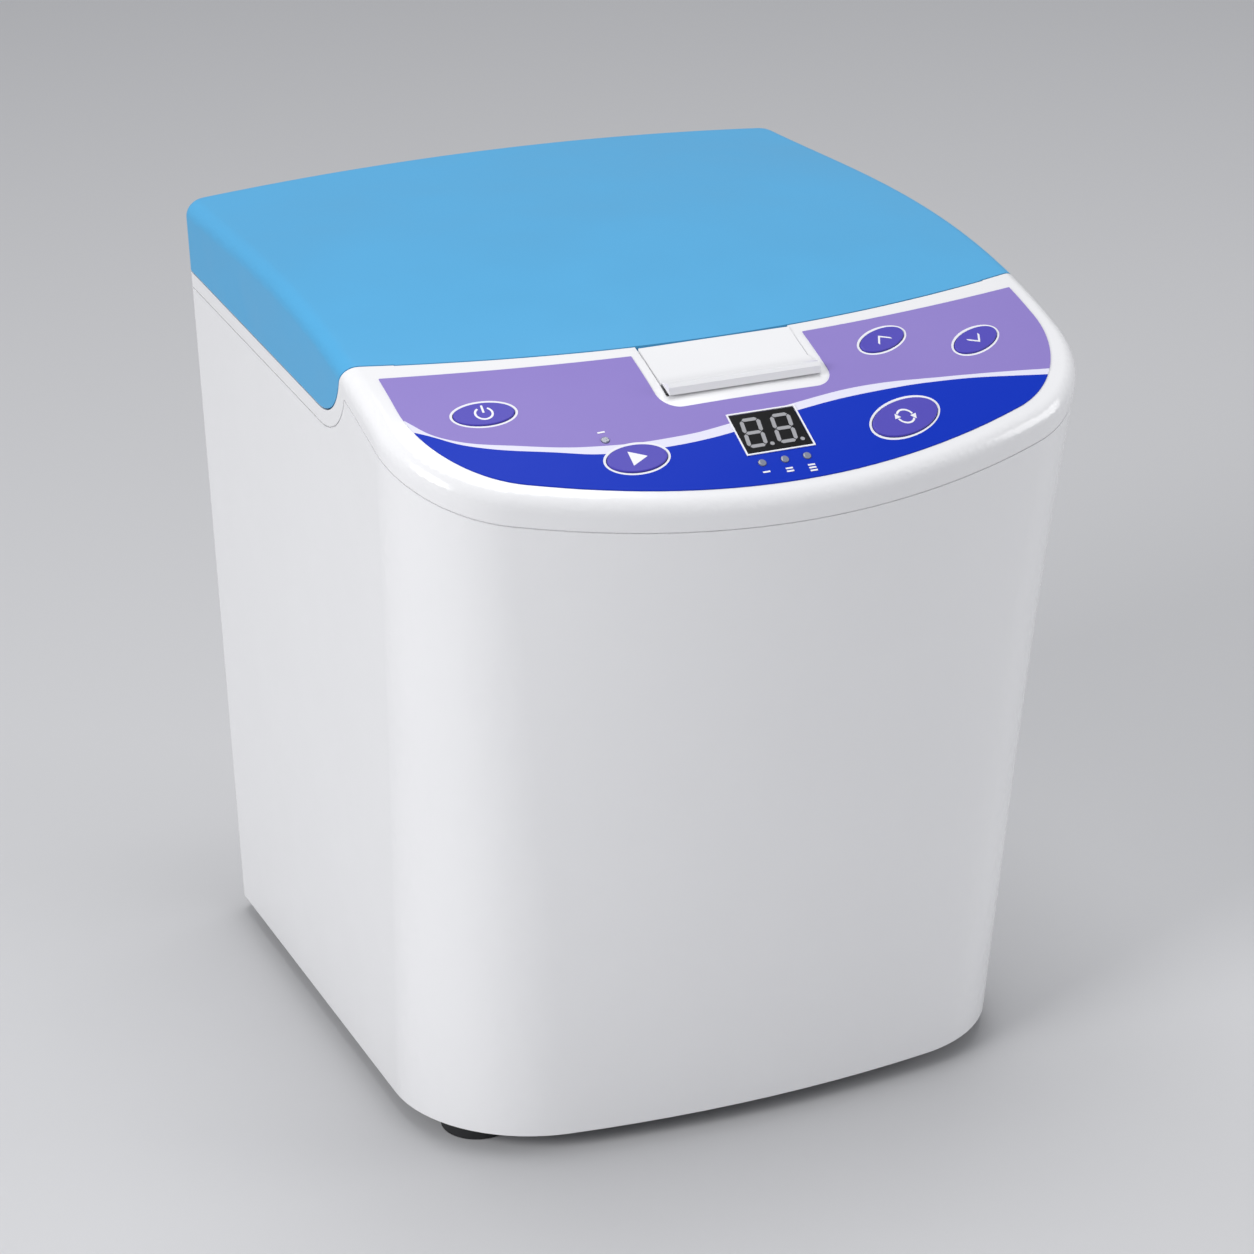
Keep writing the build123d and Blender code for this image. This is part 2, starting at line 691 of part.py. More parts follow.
def upper_frame(body, inner_top):
    frame = body - under_top(RIM_DROP)
    frame += body & (sill_space() + well_space(WALL, WELL_UNDER))
    skin = lid_space(WALL)
    frame -= inner_top - skin
    lip = form(WALL + CLEAR) - form(2 * WALL, 5.0)
    lip &= under_top(WALL / 2) - under_top(RIM_DROP + 2 * BAND)
    side_lip = form(WALL + CLEAR) - form(2 * WALL, 5.0)
    side_lip &= rear_space(2 * BAND) - rear_space(WALL / 2)
    lip -= rear_space(2 * BAND, 0.0)
    frame += lip
    frame += side_lip
    tray_front = -(bay_reach() + BAY_WALL)
    depth = LATCH_T + CLEAR
    wide = LATCH_HALF + SLIDE_CLEAR
    tray = latch_box((-wide - BAY_WALL, tray_front, -depth - BAY_WALL), (wide + BAY_WALL, BAY_REAR, -1.0))
    frame += tray & inner_top
    for x, y in BOARD_POSTS:
        foot = board_spot(x, y)
        post = Cylinder(STANDOFF_R, 60.0, align=(Align.CENTER, Align.CENTER, Align.MIN))
        post = Plane(foot, z_dir=board_plane().z_dir).location * post
        frame += post & under_top(WALL / 2)
        hole = Cylinder(M3_R + SCREW_CLEAR, 2 * SCREW_BITE)
        frame -= Plane(foot, z_dir=board_plane().z_dir).location * hole
    frame -= lid_space(0.0)
    frame -= latch_box((-wide, -bay_reach(), -depth), (wide, BAY_REAR + BAY_WALL + 1.0, 2 * BAND))
    for cutter in panel_holes():
        frame -= cutter
    frame -= cyl(0, CHAMBER_Y, WELL_UNDER - 5, CHAMBER_R + BOWL_T + 2 * CLEAR, 15.0)
    for x, y in post_spots():
        frame -= cyl(x, y, WELL_UNDER - 5, M3_R + SCREW_CLEAR, 15.0)
    return frame


def base_plate():
    plate = extrude(plan(PLATE_Z, WALL + 2 * CLEAR), PLATE_T, dir=(0, 0, 1))
    for x, y in screw_spots():
        plate -= cyl(x, y, PLATE_Z - 1, M3_R + SCREW_CLEAR, PLATE_T + 2)
    spots = foot_spots() + mount_post_spots() + driver_spots()
    for x, y in spots:
        plate -= cyl(x, y, PLATE_Z - 1, M4_R + SCREW_CLEAR, PLATE_T + 2)
    for i in range(VENT_COUNT):
        y = CHAMBER_Y + (i - (VENT_COUNT - 1) / 2) * VENT_PITCH
        slot = extrude(SlotOverall(VENT_SLOT_L, VENT_SLOT_W), PLATE_T + 2)
        plate -= Pos(0, y, PLATE_Z - 1) * slot
    return plate


def foot(x, y):
    body = Pos(x, y, PLATE_Z / 2) * Cone(FOOT_R - FOOT_TAPER, FOOT_R, PLATE_Z)
    body = fillet(body.edges().group_by(Axis.Z)[0], 1.0)
    body -= cyl(x, y, -1, M4_HEAD_R + CLEAR, PLATE_Z / 2 + 1)
    return body - cyl(x, y, 0, M4_R + SCREW_CLEAR, PLATE_Z + 1)


# ---------------------------------------------------------------- lid
def liner_spots():
    return [(side * LINER_BOSS_X, y) for side in (-1, 1) for y in LINER_BOSS_YS]


def lid_shell(body, inner_top):
    lip_z = top_z(0, LID_EDGE_Y) - LIP_DEPTH
    space = rear_space(-LID_GAP) + corner_space(-LID_GAP, 1) + corner_space(-LID_GAP, -1)
    space += well_space(-LID_GAP, lip_z)
    lid = body & space
    hollow = well_space(-LID_GAP - WALL, 200.0) + rear_space(-LID_GAP - WALL, 200.0)
    hollow += corner_space(-LID_GAP - WALL, 1) + corner_space(-LID_GAP - WALL, -1)
    lid -= inner_top & hollow
    for x, y in liner_spots():
        boss = cyl(x, y, LINER_Z + LINER_T, LINER_BOSS_R, 60.0)
        lid += boss & under_top(WALL / 2)
        lid -= cyl(x, y, LINER_Z, M3_R + SCREW_CLEAR, LINER_T + SCREW_BITE + 1)
    for plane in leaf_screw_planes(False):
        lid -= plane.location * Cylinder(M3_R + SCREW_CLEAR, 4 * WALL)
    return lid


def lid_liner():
    panel = well_space(-LINER_MARGIN - WALL, LINER_Z, -LINER_MARGIN)
    panel &= Box(FAR, FAR, LINER_T).moved(Location((0, 0, LINER_Z + LINER_T / 2)))
    dish = cyl(0, CHAMBER_Y, LINER_Z + LINER_T / 2, CHAMBER_R - 10.0, LINER_T)
    panel -= dish
    for x, y in liner_spots():
        panel -= cyl(x, y, LINER_Z - 1, M3_R + SCREW_CLEAR, LINER_T + 2)
    return panel


def lid_gasket():
    low = WELL_Z + BOWL_T + CLEAR
    inner = CHAMBER_R + BOWL_FLANGE / 2 - GASKET_W / 2
    body = ring(0, CHAMBER_Y, low, inner, inner + GASKET_W, LINER_Z - low)
    return fillet(body.edges().group_by(Axis.Z)[0], GASKET_W / 4)


def strike():
    z = top_z(0, LID_EDGE_Y) - LIP_DEPTH + 2.0
    y = edge_y(0, LID_GAP + WALL) + STRIKE_T / 2 + edge_sag(STRIKE_W / 2 - LATCH_X)
    return block(LATCH_X, y, z, STRIKE_W, STRIKE_T, STRIKE_H)


def edge_sag(x):
    """How far the bowed edge falls back at x."""
    return edge_y(x) - edge_y(0)


def hinge_axis_y():
    return rear_wall_y(SEAM_REAR_Z) + CLEAR * 1.5 + HINGE_R


def leaf(x_low, x_high, lower):
    """One hinge leaf: a plate on the wall and a barrel round the axis."""
    sign = -1 if lower else 1
    z0 = SEAM_REAR_Z
    z1 = SEAM_REAR_Z + sign * (HINGE_R + LEAF_H)
    near = SEAM_REAR_Z + sign * 1.2
    out = LEAF_T + CLEAR / 6
    bend = z0 + sign * (HINGE_R + 2.0)
    plate = prism_x([
        (rear_wall_y(near) + CLEAR / 6, near), (rear_wall_y(z1) + CLEAR / 6, z1),
        (rear_wall_y(z1) + out, z1), (rear_wall_y(bend) + out, bend),
        (hinge_axis_y() - 1.0, z0 + sign * (HINGE_R - 0.6)), (hinge_axis_y(), z0 + sign * 1.2),
    ], x_low, x_high)
    middle = (x_low + x_high) / 2
    barrel = Cylinder(HINGE_R, x_high - x_low, rotation=(0, 90, 0))
    bore = Cylinder(PIN_R + RUN_CLEAR, x_high - x_low + 2, rotation=(0, 90, 0))
    spot = Pos(middle, hinge_axis_y(), z0)
    return plate + spot * barrel - spot * bore


def hinge_leaf_plate(x, lower):
    """A whole leaf: lower ones carry the outer knuckles, upper ones the middle one."""
    half = HINGE_W / 2
    mid = LEAF_KNUCKLE / 2
    if lower:
        left = leaf(x - half, x - mid - CLEAR, True)
        right = leaf(x + mid + CLEAR, x + half, True)
        z1 = SEAM_REAR_Z - HINGE_R - LEAF_H
        z0 = SEAM_REAR_Z - HINGE_R - 3.0
        body = left + right + leaf_bridge(x, z0, z1, mid + 1.0)
    else:
        z0 = SEAM_REAR_Z + HINGE_R + 3.0
        z1 = SEAM_REAR_Z + HINGE_R + LEAF_H
        body = leaf(x - mid, x + mid, False) + leaf_bridge(x, z0, z1, half)
    for plane in leaf_screw_planes(lower):
        body -= plane.location * Cylinder(M3_R + SCREW_CLEAR, 8 * LEAF_T)
    return body


def leaf_bridge(x, z0, z1, half):
    """The flat part that joins a leaf's knuckles."""
    gap = CLEAR / 6
    return prism_x([
        (rear_wall_y(z0) + gap, z0), (rear_wall_y(z1) + gap, z1),
        (rear_wall_y(z1) + gap + LEAF_T, z1), (rear_wall_y(z0) + gap + LEAF_T, z0),
    ], x - half, x + half)


def hinge_pin(x):
    length = HINGE_W + 2.0
    pin = Pos(x, hinge_axis_y(), SEAM_REAR_Z) * Cylinder(PIN_R, length, rotation=(0, 90, 0))
    head = Pos(x - length / 2, hinge_axis_y(), SEAM_REAR_Z) * Cylinder(PIN_R + 0.9, 1.2, rotation=(0, 90, 0))
    return pin + head


def leaf_screw(plane):
    lifted = plane.offset(CLEAR / 6 + LEAF_T)
    return screw(lifted, M3_R, M3_HEAD_R, M3_HEAD_H, LEAF_T + WALL + 3.0)


# ---------------------------------------------------------------- latch
def latch_tab():
    t = LATCH_T
    back_low = LATCH_BACK - t * tan(radians(panel_slope(LATCH_Y)))
    over = bay_reach() + 1.2
    under = 2 * CLEAR
    profile = [
        (LATCH_BACK, 0), *[(-reach, share * RIDGE_H) for reach, share in RIDGE_PROFILE],
        (-over + RIDGE_END, RIDGE_H * 0.8), (-over, under), (-LATCH_FRONT, under),
        (-LATCH_FRONT, -t), (back_low, -t),
    ]
    face = Face(Wire.make_polygon([(-LATCH_HALF, y, z) for y, z in profile], close=True))
    tab = extrude(face, 2 * LATCH_HALF, dir=(1, 0, 0))
    for x in (-SPRING_X, SPRING_X):
        depth = spring_length() + 0.2
        bore = Cylinder(SPRING_R + SPRING_WIRE, depth, align=(Align.CENTER, Align.CENTER, Align.MIN))
        plane = Plane((x, -LATCH_FRONT, -t / 2), z_dir=(0, 1, 0))
        tab -= plane.location * bore
    return panel_plane(LATCH_X, LATCH_Y).location * tab


def spring_length():
    """Pressed length: the turns and half a turn's room at the ends."""
    return SPRING_TURNS * SPRING_PITCH + SPRING_WIRE


def latch_spring(x):
    """Small compression spring in the latch's bore, at its pressed length."""
    path = Helix(SPRING_PITCH, spring_length() - SPRING_WIRE, SPRING_R)
    coil = sweep(Plane(path @ 0, z_dir=path % 0) * Circle(SPRING_WIRE / 2), path)
    plane = Plane((x, -LATCH_FRONT + SPRING_WIRE / 2, -LATCH_T / 2), z_dir=(0, 1, 0))
    return panel_plane(LATCH_X, LATCH_Y).location * plane.location * coil


# ---------------------------------------------------------------- control panel
def overlay():
    outline = bowed_outline(
        PRINT_Z, OVERLAY_REAR_Y + 5.0, OVERLAY_HALF, OVERLAY_FRONT_HALF,
        OVERLAY_FRONT_Y, OVERLAY_FRONT_SAG, OVERLAY_CORNER_R, 2.0)
    blank = extrude(outline, PRINT_Z, dir=(0, 0, 1))
    half = OVERLAY_HALF + 20.0
    back_y = OVERLAY_REAR_Y - OVERLAY_REAR_SAG
    fall = OVERLAY_REAR_SAG * (half / OVERLAY_HALF) ** 2
    far_y = back_y + half
    rear = Face(Wire([
        ThreePointArc((-half, back_y + fall, PRINT_Z), (0, back_y, PRINT_Z), (half, back_y + fall, PRINT_Z)),
        Line((half, back_y + fall, PRINT_Z), (half, far_y, PRINT_Z)),
        Line((half, far_y, PRINT_Z), (-half, far_y, PRINT_Z)),
        Line((-half, far_y, PRINT_Z), (-half, back_y + fall, PRINT_Z)),
    ]))
    blank -= extrude(rear, PRINT_Z, dir=(0, 0, 1))
    width = 2 * (LATCH_HALF + BAY_MARGIN)
    long = OVERLAY_CORNER_R + LATCH_HALF
    bay = extrude(RectangleRounded(width, long, BAY_CORNER_R), PRINT_Z)
    blank -= Pos(LATCH_X, BAY_FRONT_Y + long / 2, PRINT_Z) * bay
    film = blank & (under_top(-OVERLAY_T) - under_top(-FILM_GLUE))
    for cutter in panel_holes():
        film -= cutter
    return film


def key(name):
    """Oval key with a flange under the deck and a stem towards its switch."""
    x, y, a, b, turn = KEYS[name]
    top = OVERLAY_T + KEY_RISE
    low = -WALL - 1.5 * CLEAR
    cap = Pos(0, 0, low) * extrude(Ellipse(a, b), top - low)
    cap = fillet(cap.edges().group_by(Axis.Z)[-1], KEY_RISE * 0.8)
    flange = extrude(Ellipse(a + KEY_FLANGE, b + KEY_FLANGE), -KEY_FLANGE)
    stem = extrude(Circle(KEY_STEM_R), SWITCH_SIZE - BOARD_DEPTH - low)
    body = cap + Pos(0, 0, low) * (flange + stem)
    return panel_plane(x, y, turn).location * body


def key_switch(name):
    """Switch on the board under a key's stem."""
    x, y, a, b, turn = KEYS[name]
    top = -(BOARD_DEPTH - SWITCH_SIZE) - KEY_TRAVEL - 2 * CLEAR / 3
    tall = extrude(Rectangle(SWITCH_SIZE, SWITCH_SIZE), -30.0)
    placed = panel_plane(x, y, turn).location * Pos(0, 0, top) * tall
    return placed & above_board()


def key_direction(name):
    x, y, a, b, turn = KEYS[name]
    return panel_plane(x, y, turn).z_dir


def display_module():
    plane = panel_plane(DISPLAY_X, DISPLAY_Y)
    case = Pos(0, 0, OVERLAY_T - DISPLAY_H) * Box(
        DISPLAY_W, DISPLAY_D, DISPLAY_H, align=(Align.CENTER, Align.CENTER, Align.MIN))
    header = extrude(Rectangle(DISPLAY_W - 4, DISPLAY_D - 8), -40.0)
    header = plane.location * Pos(0, 0, OVERLAY_T - DISPLAY_H) * header
    return plane.location * case + (header & above_board())


def segment(length, angle, x, y):
    """One lit bar with pointed ends, as the digits of a display have."""
    half, w = length / 2, SEGMENT_W / 2
    bar = Polygon((-half, 0), (-half + w, w), (half - w, w), (half, 0), (half - w, -w), (-half + w, -w),
                  align=None)
    return Pos(x, y, 0) * Rot(0, 0, angle) * extrude(bar, SEGMENT_T, dir=(0, 0, 1))


def display_segments():
    plane = panel_plane(DISPLAY_X, DISPLAY_Y).offset(OVERLAY_T)
    lean = tan(radians(DIGIT_SLANT))
    up = DIGIT_H / 2 - SEGMENT_W / 2
    wide = DIGIT_W / 2 - SEGMENT_W / 2
    bars = []
    for digit in (-0.5, 0.5):
        cx = digit * DIGIT_PITCH - 0.8
        for row in (-1, 0, 1):
            bars.append(segment(2 * wide - SEGMENT_GAP, 0, cx + row * up * lean, row * up))
        for col in (-1, 1):
            for row in (-0.5, 0.5):
                x = cx + col * wide + row * up * lean
                bars.append(segment(up - SEGMENT_GAP, 90 - DIGIT_SLANT, x, row * up))
        dot = Pos(cx + wide + 2.4 - up * lean, -up, 0) * extrude(Circle(SEGMENT_W * 0.55), SEGMENT_T)
        bars.append(dot)
    return [plane.location * bar for bar in bars]


def lamp(plane):
    """Light pipe from the overlay down to the board."""
    pipe = Cylinder(LAMP_R, 60.0, align=(Align.CENTER, Align.CENTER, Align.MAX))
    pipe = plane.location * Pos(0, 0, OVERLAY_T + 0.3) * pipe
    return pipe & above_board()


def control_board():
    slab = Box(2 * BOARD_HALF, BOARD_REAR + BOARD_FRONT, BOARD_T, align=(Align.CENTER, Align.CENTER, Align.MAX))
    slab = Pos(0, (BOARD_REAR - BOARD_FRONT) / 2, 0) * slab
    board = board_plane().location * slab
    board &= form(BOARD_MARGIN)
    for x, y in BOARD_POSTS:
        hole = Cylinder(M3_R + SCREW_CLEAR, 3 * BOARD_T)
        board -= Plane(board_spot(x, y), z_dir=board_plane().z_dir).location * hole
    return board


def board_screw(x, y):
    n = board_plane().z_dir
    spot = board_spot(x, y) - n * BOARD_T
    return screw(Plane(spot, z_dir=n * -1), M3_R, M3_HEAD_R, M3_HEAD_H, BOARD_T + SCREW_BITE - 3.0)


# ---------------------------------------------------------------- chamber and drive
def chamber_bowl():
    r, t, c = CHAMBER_R, BOWL_T, BOWL_CORNER_R
    z0, z1 = BOWL_FLOOR_Z, WELL_Z
    k = c * (1 - cos(pi / 4))
    ko = (c + t) * (1 - cos(pi / 4))
    ro, zo = r + t, z0 - t
    hole = NECK_R + CLEAR
    wire = Wire([
        Line((hole, 0, z0), (r - c, 0, z0)),
        ThreePointArc((r - c, 0, z0), (r - k, 0, z0 + k), (r, 0, z0 + c)),
        Line((r, 0, z0 + c), (r, 0, z1 + t)),
        Line((r, 0, z1 + t), (r + BOWL_FLANGE, 0, z1 + t)),
        Line((r + BOWL_FLANGE, 0, z1 + t), (r + BOWL_FLANGE, 0, z1)),
        Line((r + BOWL_FLANGE, 0, z1), (ro, 0, z1)),
        Line((ro, 0, z1), (ro, 0, z0 + c)),
        ThreePointArc((ro, 0, z0 + c), (ro - ko, 0, zo + ko), (r - c, 0, zo)),
        Line((r - c, 0, zo), (hole, 0, zo)),
        Line((hole, 0, zo), (hole, 0, z0)),
    ])
    bowl = Pos(0, CHAMBER_Y, 0) * revolve(Face(wire), Axis.Z)
    for x, y in track_screw_spots():
        bowl -= cyl(x, y, zo - 1, M3_R + SCREW_CLEAR, t + 2)
    return bowl


def round_spots(count, radius, start=0.0):
    """Evenly spaced points round the spindle."""
    return [
        (radius * cos(start + 2 * pi * i / count), CHAMBER_Y + radius * sin(start + 2 * pi * i / count))
        for i in range(count)
    ]


def track_screw_spots():
    return round_spots(3, (TRACK_INNER_R + track_r(1.0)) / 2 - TRACK_TYRE / 2, pi / 2)


def mount_post_spots():
    o = MOUNT_POST_OFFSET
    return [(sx * o, CHAMBER_Y + sy * o) for sx in (-1, 1) for sy in (-1, 1)]


def motor_case():
    z = MOUNT_Z - MOTOR_H
    can = cyl(0, CHAMBER_Y, z, MOTOR_R, MOTOR_H)
    can = fillet(can.edges().group_by(Axis.Z)[0], 4.0)
    can -= cyl(0, CHAMBER_Y, z + MOTOR_WALL, MOTOR_R - MOTOR_WALL, MOTOR_H - 2 * MOTOR_WALL)
    can += ring(0, CHAMBER_Y, z + MOTOR_WALL / 2, BEARING_R, BEARING_R + 3.0, BEARING_H + MOTOR_WALL / 2)
    can -= cyl(0, CHAMBER_Y, z + MOTOR_H / 2, SPINDLE_R + 1.0, MOTOR_H)
    for x, y in round_spots(4, MOTOR_R - 8.0, pi / 4):
        can -= cyl(x, y, z + MOTOR_H - MOTOR_WALL - 1, M4_R + SCREW_CLEAR, MOTOR_WALL + 2)
    return can


def motor_bearing():
    z = MOUNT_Z - MOTOR_H + MOTOR_WALL
    return ring(0, CHAMBER_Y, z, SPINDLE_R + RUN_CLEAR, BEARING_R - RUN_CLEAR, BEARING_H)


def armature():
    z = MOUNT_Z - MOTOR_H / 2 - ARMATURE_H / 2 + 4.0
    core = ring(0, CHAMBER_Y, z, SPINDLE_R, ARMATURE_R, ARMATURE_H)
    for x, y in round_spots(12, ARMATURE_R):
        core -= cyl(x, y, z, 2.0, ARMATURE_H)
    return core


def motor_magnet(side):
    """One of the two curved field magnets inside the motor case."""
    z = MOUNT_Z - MOTOR_H / 2 - ARMATURE_H / 2 + 4.0
    shell = ring(0, CHAMBER_Y, z, ARMATURE_R + 1.5, MOTOR_R - MOTOR_WALL - 0.1, ARMATURE_H)
    keep = block(side * (MOTOR_R / 2 + 8.0), CHAMBER_Y, z, MOTOR_R + 8.0, MOTOR_R * 1.3, ARMATURE_H)
    return shell & keep


def motor_mount():
    outline = RectangleRounded(2 * MOUNT_HALF, 2 * MOUNT_HALF, MOUNT_HALF - MOUNT_POST_OFFSET)
    plate = Pos(0, CHAMBER_Y, MOUNT_Z) * extrude(outline, MOUNT_T)
    plate -= cyl(0, CHAMBER_Y, MOUNT_Z - 1, SPINDLE_R + 3.0, MOUNT_T + 2)
    for x, y in mount_post_spots() + round_spots(4, MOTOR_R - 8.0, pi / 4):
        plate -= cyl(x, y, MOUNT_Z - 1, M4_R + SCREW_CLEAR, MOUNT_T + 2)
    return plate


def mount_post(x, y):
    height = MOUNT_Z - DAMPER_H - PLATE_TOP
    post = cyl(x, y, PLATE_TOP, MOUNT_POST_R, height)
    post -= cyl(x, y, PLATE_TOP + height - 2 * SCREW_BITE, M4_R + SCREW_CLEAR, 2 * SCREW_BITE)
    return post - cyl(x, y, PLATE_TOP, M4_R + SCREW_CLEAR, 2 * SCREW_BITE)


def mount_damper(x, y):
    body = ring(x, y, MOUNT_Z - DAMPER_H, M4_R + SCREW_CLEAR, DAMPER_R, DAMPER_H)
    waist = ring(x, y, MOUNT_Z - DAMPER_H * 0.7, DAMPER_R - 1.5, DAMPER_R + 1, DAMPER_H * 0.4)
    return body - waist


def bearing_housing():
    body = cyl(0, CHAMBER_Y, MOUNT_TOP, HOUSING_FLANGE_R, HOUSING_FLANGE_T)
    body += cyl(0, CHAMBER_Y, MOUNT_TOP, HOUSING_R, HEAD_TOP - MOUNT_TOP)
    body += cyl(0, CHAMBER_Y, HEAD_TOP - HOUSING_FLANGE_T, HOUSING_HEAD_R, HOUSING_FLANGE_T)
    body += cyl(0, CHAMBER_Y, HEAD_TOP, NECK_R, NECK_TOP - HEAD_TOP)
    body -= cyl(0, CHAMBER_Y, MOUNT_TOP - 1, BEARING_R, NECK_TOP - MOUNT_TOP - 1.0)
    body -= cyl(0, CHAMBER_Y, MOUNT_TOP, SPINDLE_R + 1.0, NECK_TOP)
    for x, y in track_screw_spots():
        body -= cyl(x, y, HEAD_TOP - HOUSING_FLANGE_T - 1, M3_R + SCREW_CLEAR, HOUSING_FLANGE_T + 2)
    for x, y in round_spots(4, MOTOR_R - 8.0, pi / 4):
        body -= cyl(x, y, MOUNT_TOP - 1, M4_R + SCREW_CLEAR, HOUSING_FLANGE_T + 2)
    return body


def spindle_bearing(z):
    return ring(0, CHAMBER_Y, z, SPINDLE_R + RUN_CLEAR, BEARING_R - RUN_CLEAR, BEARING_H)


def bearing_levels():
    return (MOUNT_TOP + 1.0, NECK_TOP - 2.0 - BEARING_H - CLEAR)


def bearing_spacer():
    low = bearing_levels()[0] + BEARING_H
    high = bearing_levels()[1]
    return ring(0, CHAMBER_Y, low, BEARING_R - 3.5, BEARING_R - RUN_CLEAR, high - low)


def drip_collar():
    body = ring(0, CHAMBER_Y, BOWL_FLOOR_Z, NECK_R + 0.1, NECK_R + COLLAR_W, NECK_RISE)
    return fillet(body.edges().filter_by(GeomType.CIRCLE).group_by(Axis.Z)[-1][-1:], 1.5)


def spindle():
    low = MOUNT_Z - MOTOR_H + MOTOR_WALL + CLEAR
    high = HUB_Z + HUB_H + 8.0
    shaft = cyl(0, CHAMBER_Y, low, SPINDLE_R, high - low)
    return chamfer(shaft.edges().group_by(Axis.Z)[-1], 1.0)


def along_contact(share):
    """Point of the line where roller and track meet: share 0 at the roller's top."""
    run = (APEX_TO_CUP + ROLLER_DOWN + share * ROLLER_H) / cos(ROLLER_ANGLE)
    return run * sin(TRACK_ANGLE), APEX_Z - run * cos(TRACK_ANGLE)


def track_r(share):
    return along_contact(share)[0] - ROLL_GAP


def track_ring(inner_off, outer_off):
    """Ring under the track's cone, between two distances in from the contact line."""
    (r0, z0), (r1, z1) = along_contact(0.0), along_contact(1.0)
    wire = Wire.make_polygon([
        (r1 - ROLL_GAP - outer_off, 0, z1), (r0 - ROLL_GAP - outer_off, 0, z0),
        (inner_off, 0, z0), (inner_off, 0, z1)], close=True)
    return Pos(0, CHAMBER_Y, 0) * revolve(Face(wire), Axis.Z)


def drive_track():
    body = track_ring(TRACK_INNER_R, TRACK_TYRE)
    low = along_contact(1.0)[1]
    body += ring(0, CHAMBER_Y, BOWL_FLOOR_Z, TRACK_INNER_R, track_r(1.0), low - BOWL_FLOOR_Z)
    for x, y in track_screw_spots():
        body -= cyl(x, y, BOWL_FLOOR_Z - 1, M3_R + SCREW_CLEAR, 40.0)
    return body


def track_tyre():
    body = track_ring(TRACK_INNER_R, 0.0)
    return body - track_ring(TRACK_INNER_R - 5.0, TRACK_TYRE)


def track_screw(x, y):
    top = along_contact(0.0)[1]
    length = top - HEAD_TOP + HOUSING_FLANGE_T
    return down_screw(x, y, top, M3_R, M3_HEAD_R - 0.2, 1.4, length)


# ---------------------------------------------------------------- rotor
def carrier_plane_z(r):
    """Height of the carrier's lower face above radius r."""
    centre = CUP_CENTRE - CUP_AXIS * CARRIER_DOWN
    return centre.Z - (centre.X - r) * tan(TILT)


def rotor_arm():
    half = ARM_W / 2
    low = HUB_Z
    hub_top = HUB_Z + HUB_H
    gap = ARM_GAP
    boss = CUP_CENTRE - CUP_AXIS * (BOSS_DOWN + BOSS_H / 2)
    corner_r = CUP_CENTRE.X + sin(TILT) * CARRIER_DOWN - cos(TILT) * (CUP_R + CARRIER_WALL)
    near = corner_r - 3.0
    fall = ARM_T / cos(TILT)
    start = near - 8.0
    points = [
        (0, hub_top), (HUB_R, hub_top), (near - 1.0, carrier_plane_z(near) - gap),
        (boss.X, carrier_plane_z(boss.X) - gap), (boss.X, carrier_plane_z(boss.X) - gap - fall),
        (start, carrier_plane_z(start) - gap - fall), (start, low), (ARM_BEND, low),
        (-WEIGHT_IN, WEIGHT_PAD_Z), (-WEIGHT_OUT, WEIGHT_PAD_Z),
        (-WEIGHT_OUT, WEIGHT_PAD_Z + WEIGHT_PAD_T), (-WEIGHT_IN + WEIGHT_STEP, WEIGHT_PAD_Z + WEIGHT_PAD_T),
        (-HUB_R, hub_top),
    ]
    low_start = carrier_plane_z(start) - gap - fall
    if low_start < low:
        points = [(x, max(z, low)) for x, z in points]
    face = Face(Wire.make_polygon([(x, CHAMBER_Y - half, z) for x, z in points], close=True))
    arm = extrude(face, ARM_W, dir=(0, 1, 0))
    arm += cyl(0, CHAMBER_Y, low, HUB_R, HUB_H)
    arm += on_cup_axis(Cylinder(BOSS_R, BOSS_H, align=(Align.CENTER, Align.CENTER, Align.MAX)), BOSS_DOWN)
    arm -= on_cup_axis(Cylinder(CUP_BEARING_R, BOSS_H + 30, align=(Align.CENTER,) * 3), BOSS_DOWN)
    arm -= cyl(0, CHAMBER_Y, low - 1, SPINDLE_R, HUB_H + 2)
    for y in weight_screw_ys():
        x = -(WEIGHT_IN + WEIGHT_OUT) / 2
        arm -= cyl(x, y, WEIGHT_PAD_Z - 1, M4_R + SCREW_CLEAR, WEIGHT_PAD_T + 2)
    return arm


def weight_screw_ys():
    return (CHAMBER_Y - ARM_W / 4, CHAMBER_Y + ARM_W / 4)


def counterweight():
    x = -(WEIGHT_IN + WEIGHT_OUT) / 2
    z = WEIGHT_PAD_Z + WEIGHT_PAD_T
    length = WEIGHT_OUT - WEIGHT_IN - WEIGHT_STEP
    body = block(x - WEIGHT_STEP / 2, CHAMBER_Y, z, length, WEIGHT_W, WEIGHT_H)
    body &= cyl(0, CHAMBER_Y, z, WEIGHT_OUT, WEIGHT_H)
    body = fillet(body.edges().group_by(Axis.Z)[-1], 2.0)
    for y in weight_screw_ys():
        body -= cyl(x, y, z - 1, M4_R + SCREW_CLEAR, WEIGHT_H + 2)
    return body


def weight_screw(y):
    x = -(WEIGHT_IN + WEIGHT_OUT) / 2
    top = WEIGHT_PAD_Z + WEIGHT_PAD_T + WEIGHT_H
    return down_screw(x, y, top, M4_R, M4_HEAD_R, M4_HEAD_H, WEIGHT_H + WEIGHT_PAD_T)


def rotor_nut():
    z = HUB_Z + HUB_H
    nut = Pos(0, CHAMBER_Y, z) * extrude(RegularPolygon(12.0, 6), 6.5)
    return nut - cyl(0, CHAMBER_Y, z - 1, SPINDLE_R, 9.0)


def cup_bearing():
    body = Cylinder(CUP_BEARING_R - RUN_CLEAR, BOSS_H, align=(Align.CENTER, Align.CENTER, Align.MAX))
    body -= Cylinder(STUB_R + RUN_CLEAR, BOSS_H + 1, align=(Align.CENTER, Align.CENTER, Align.MAX))
    return on_cup_axis(body, BOSS_DOWN)


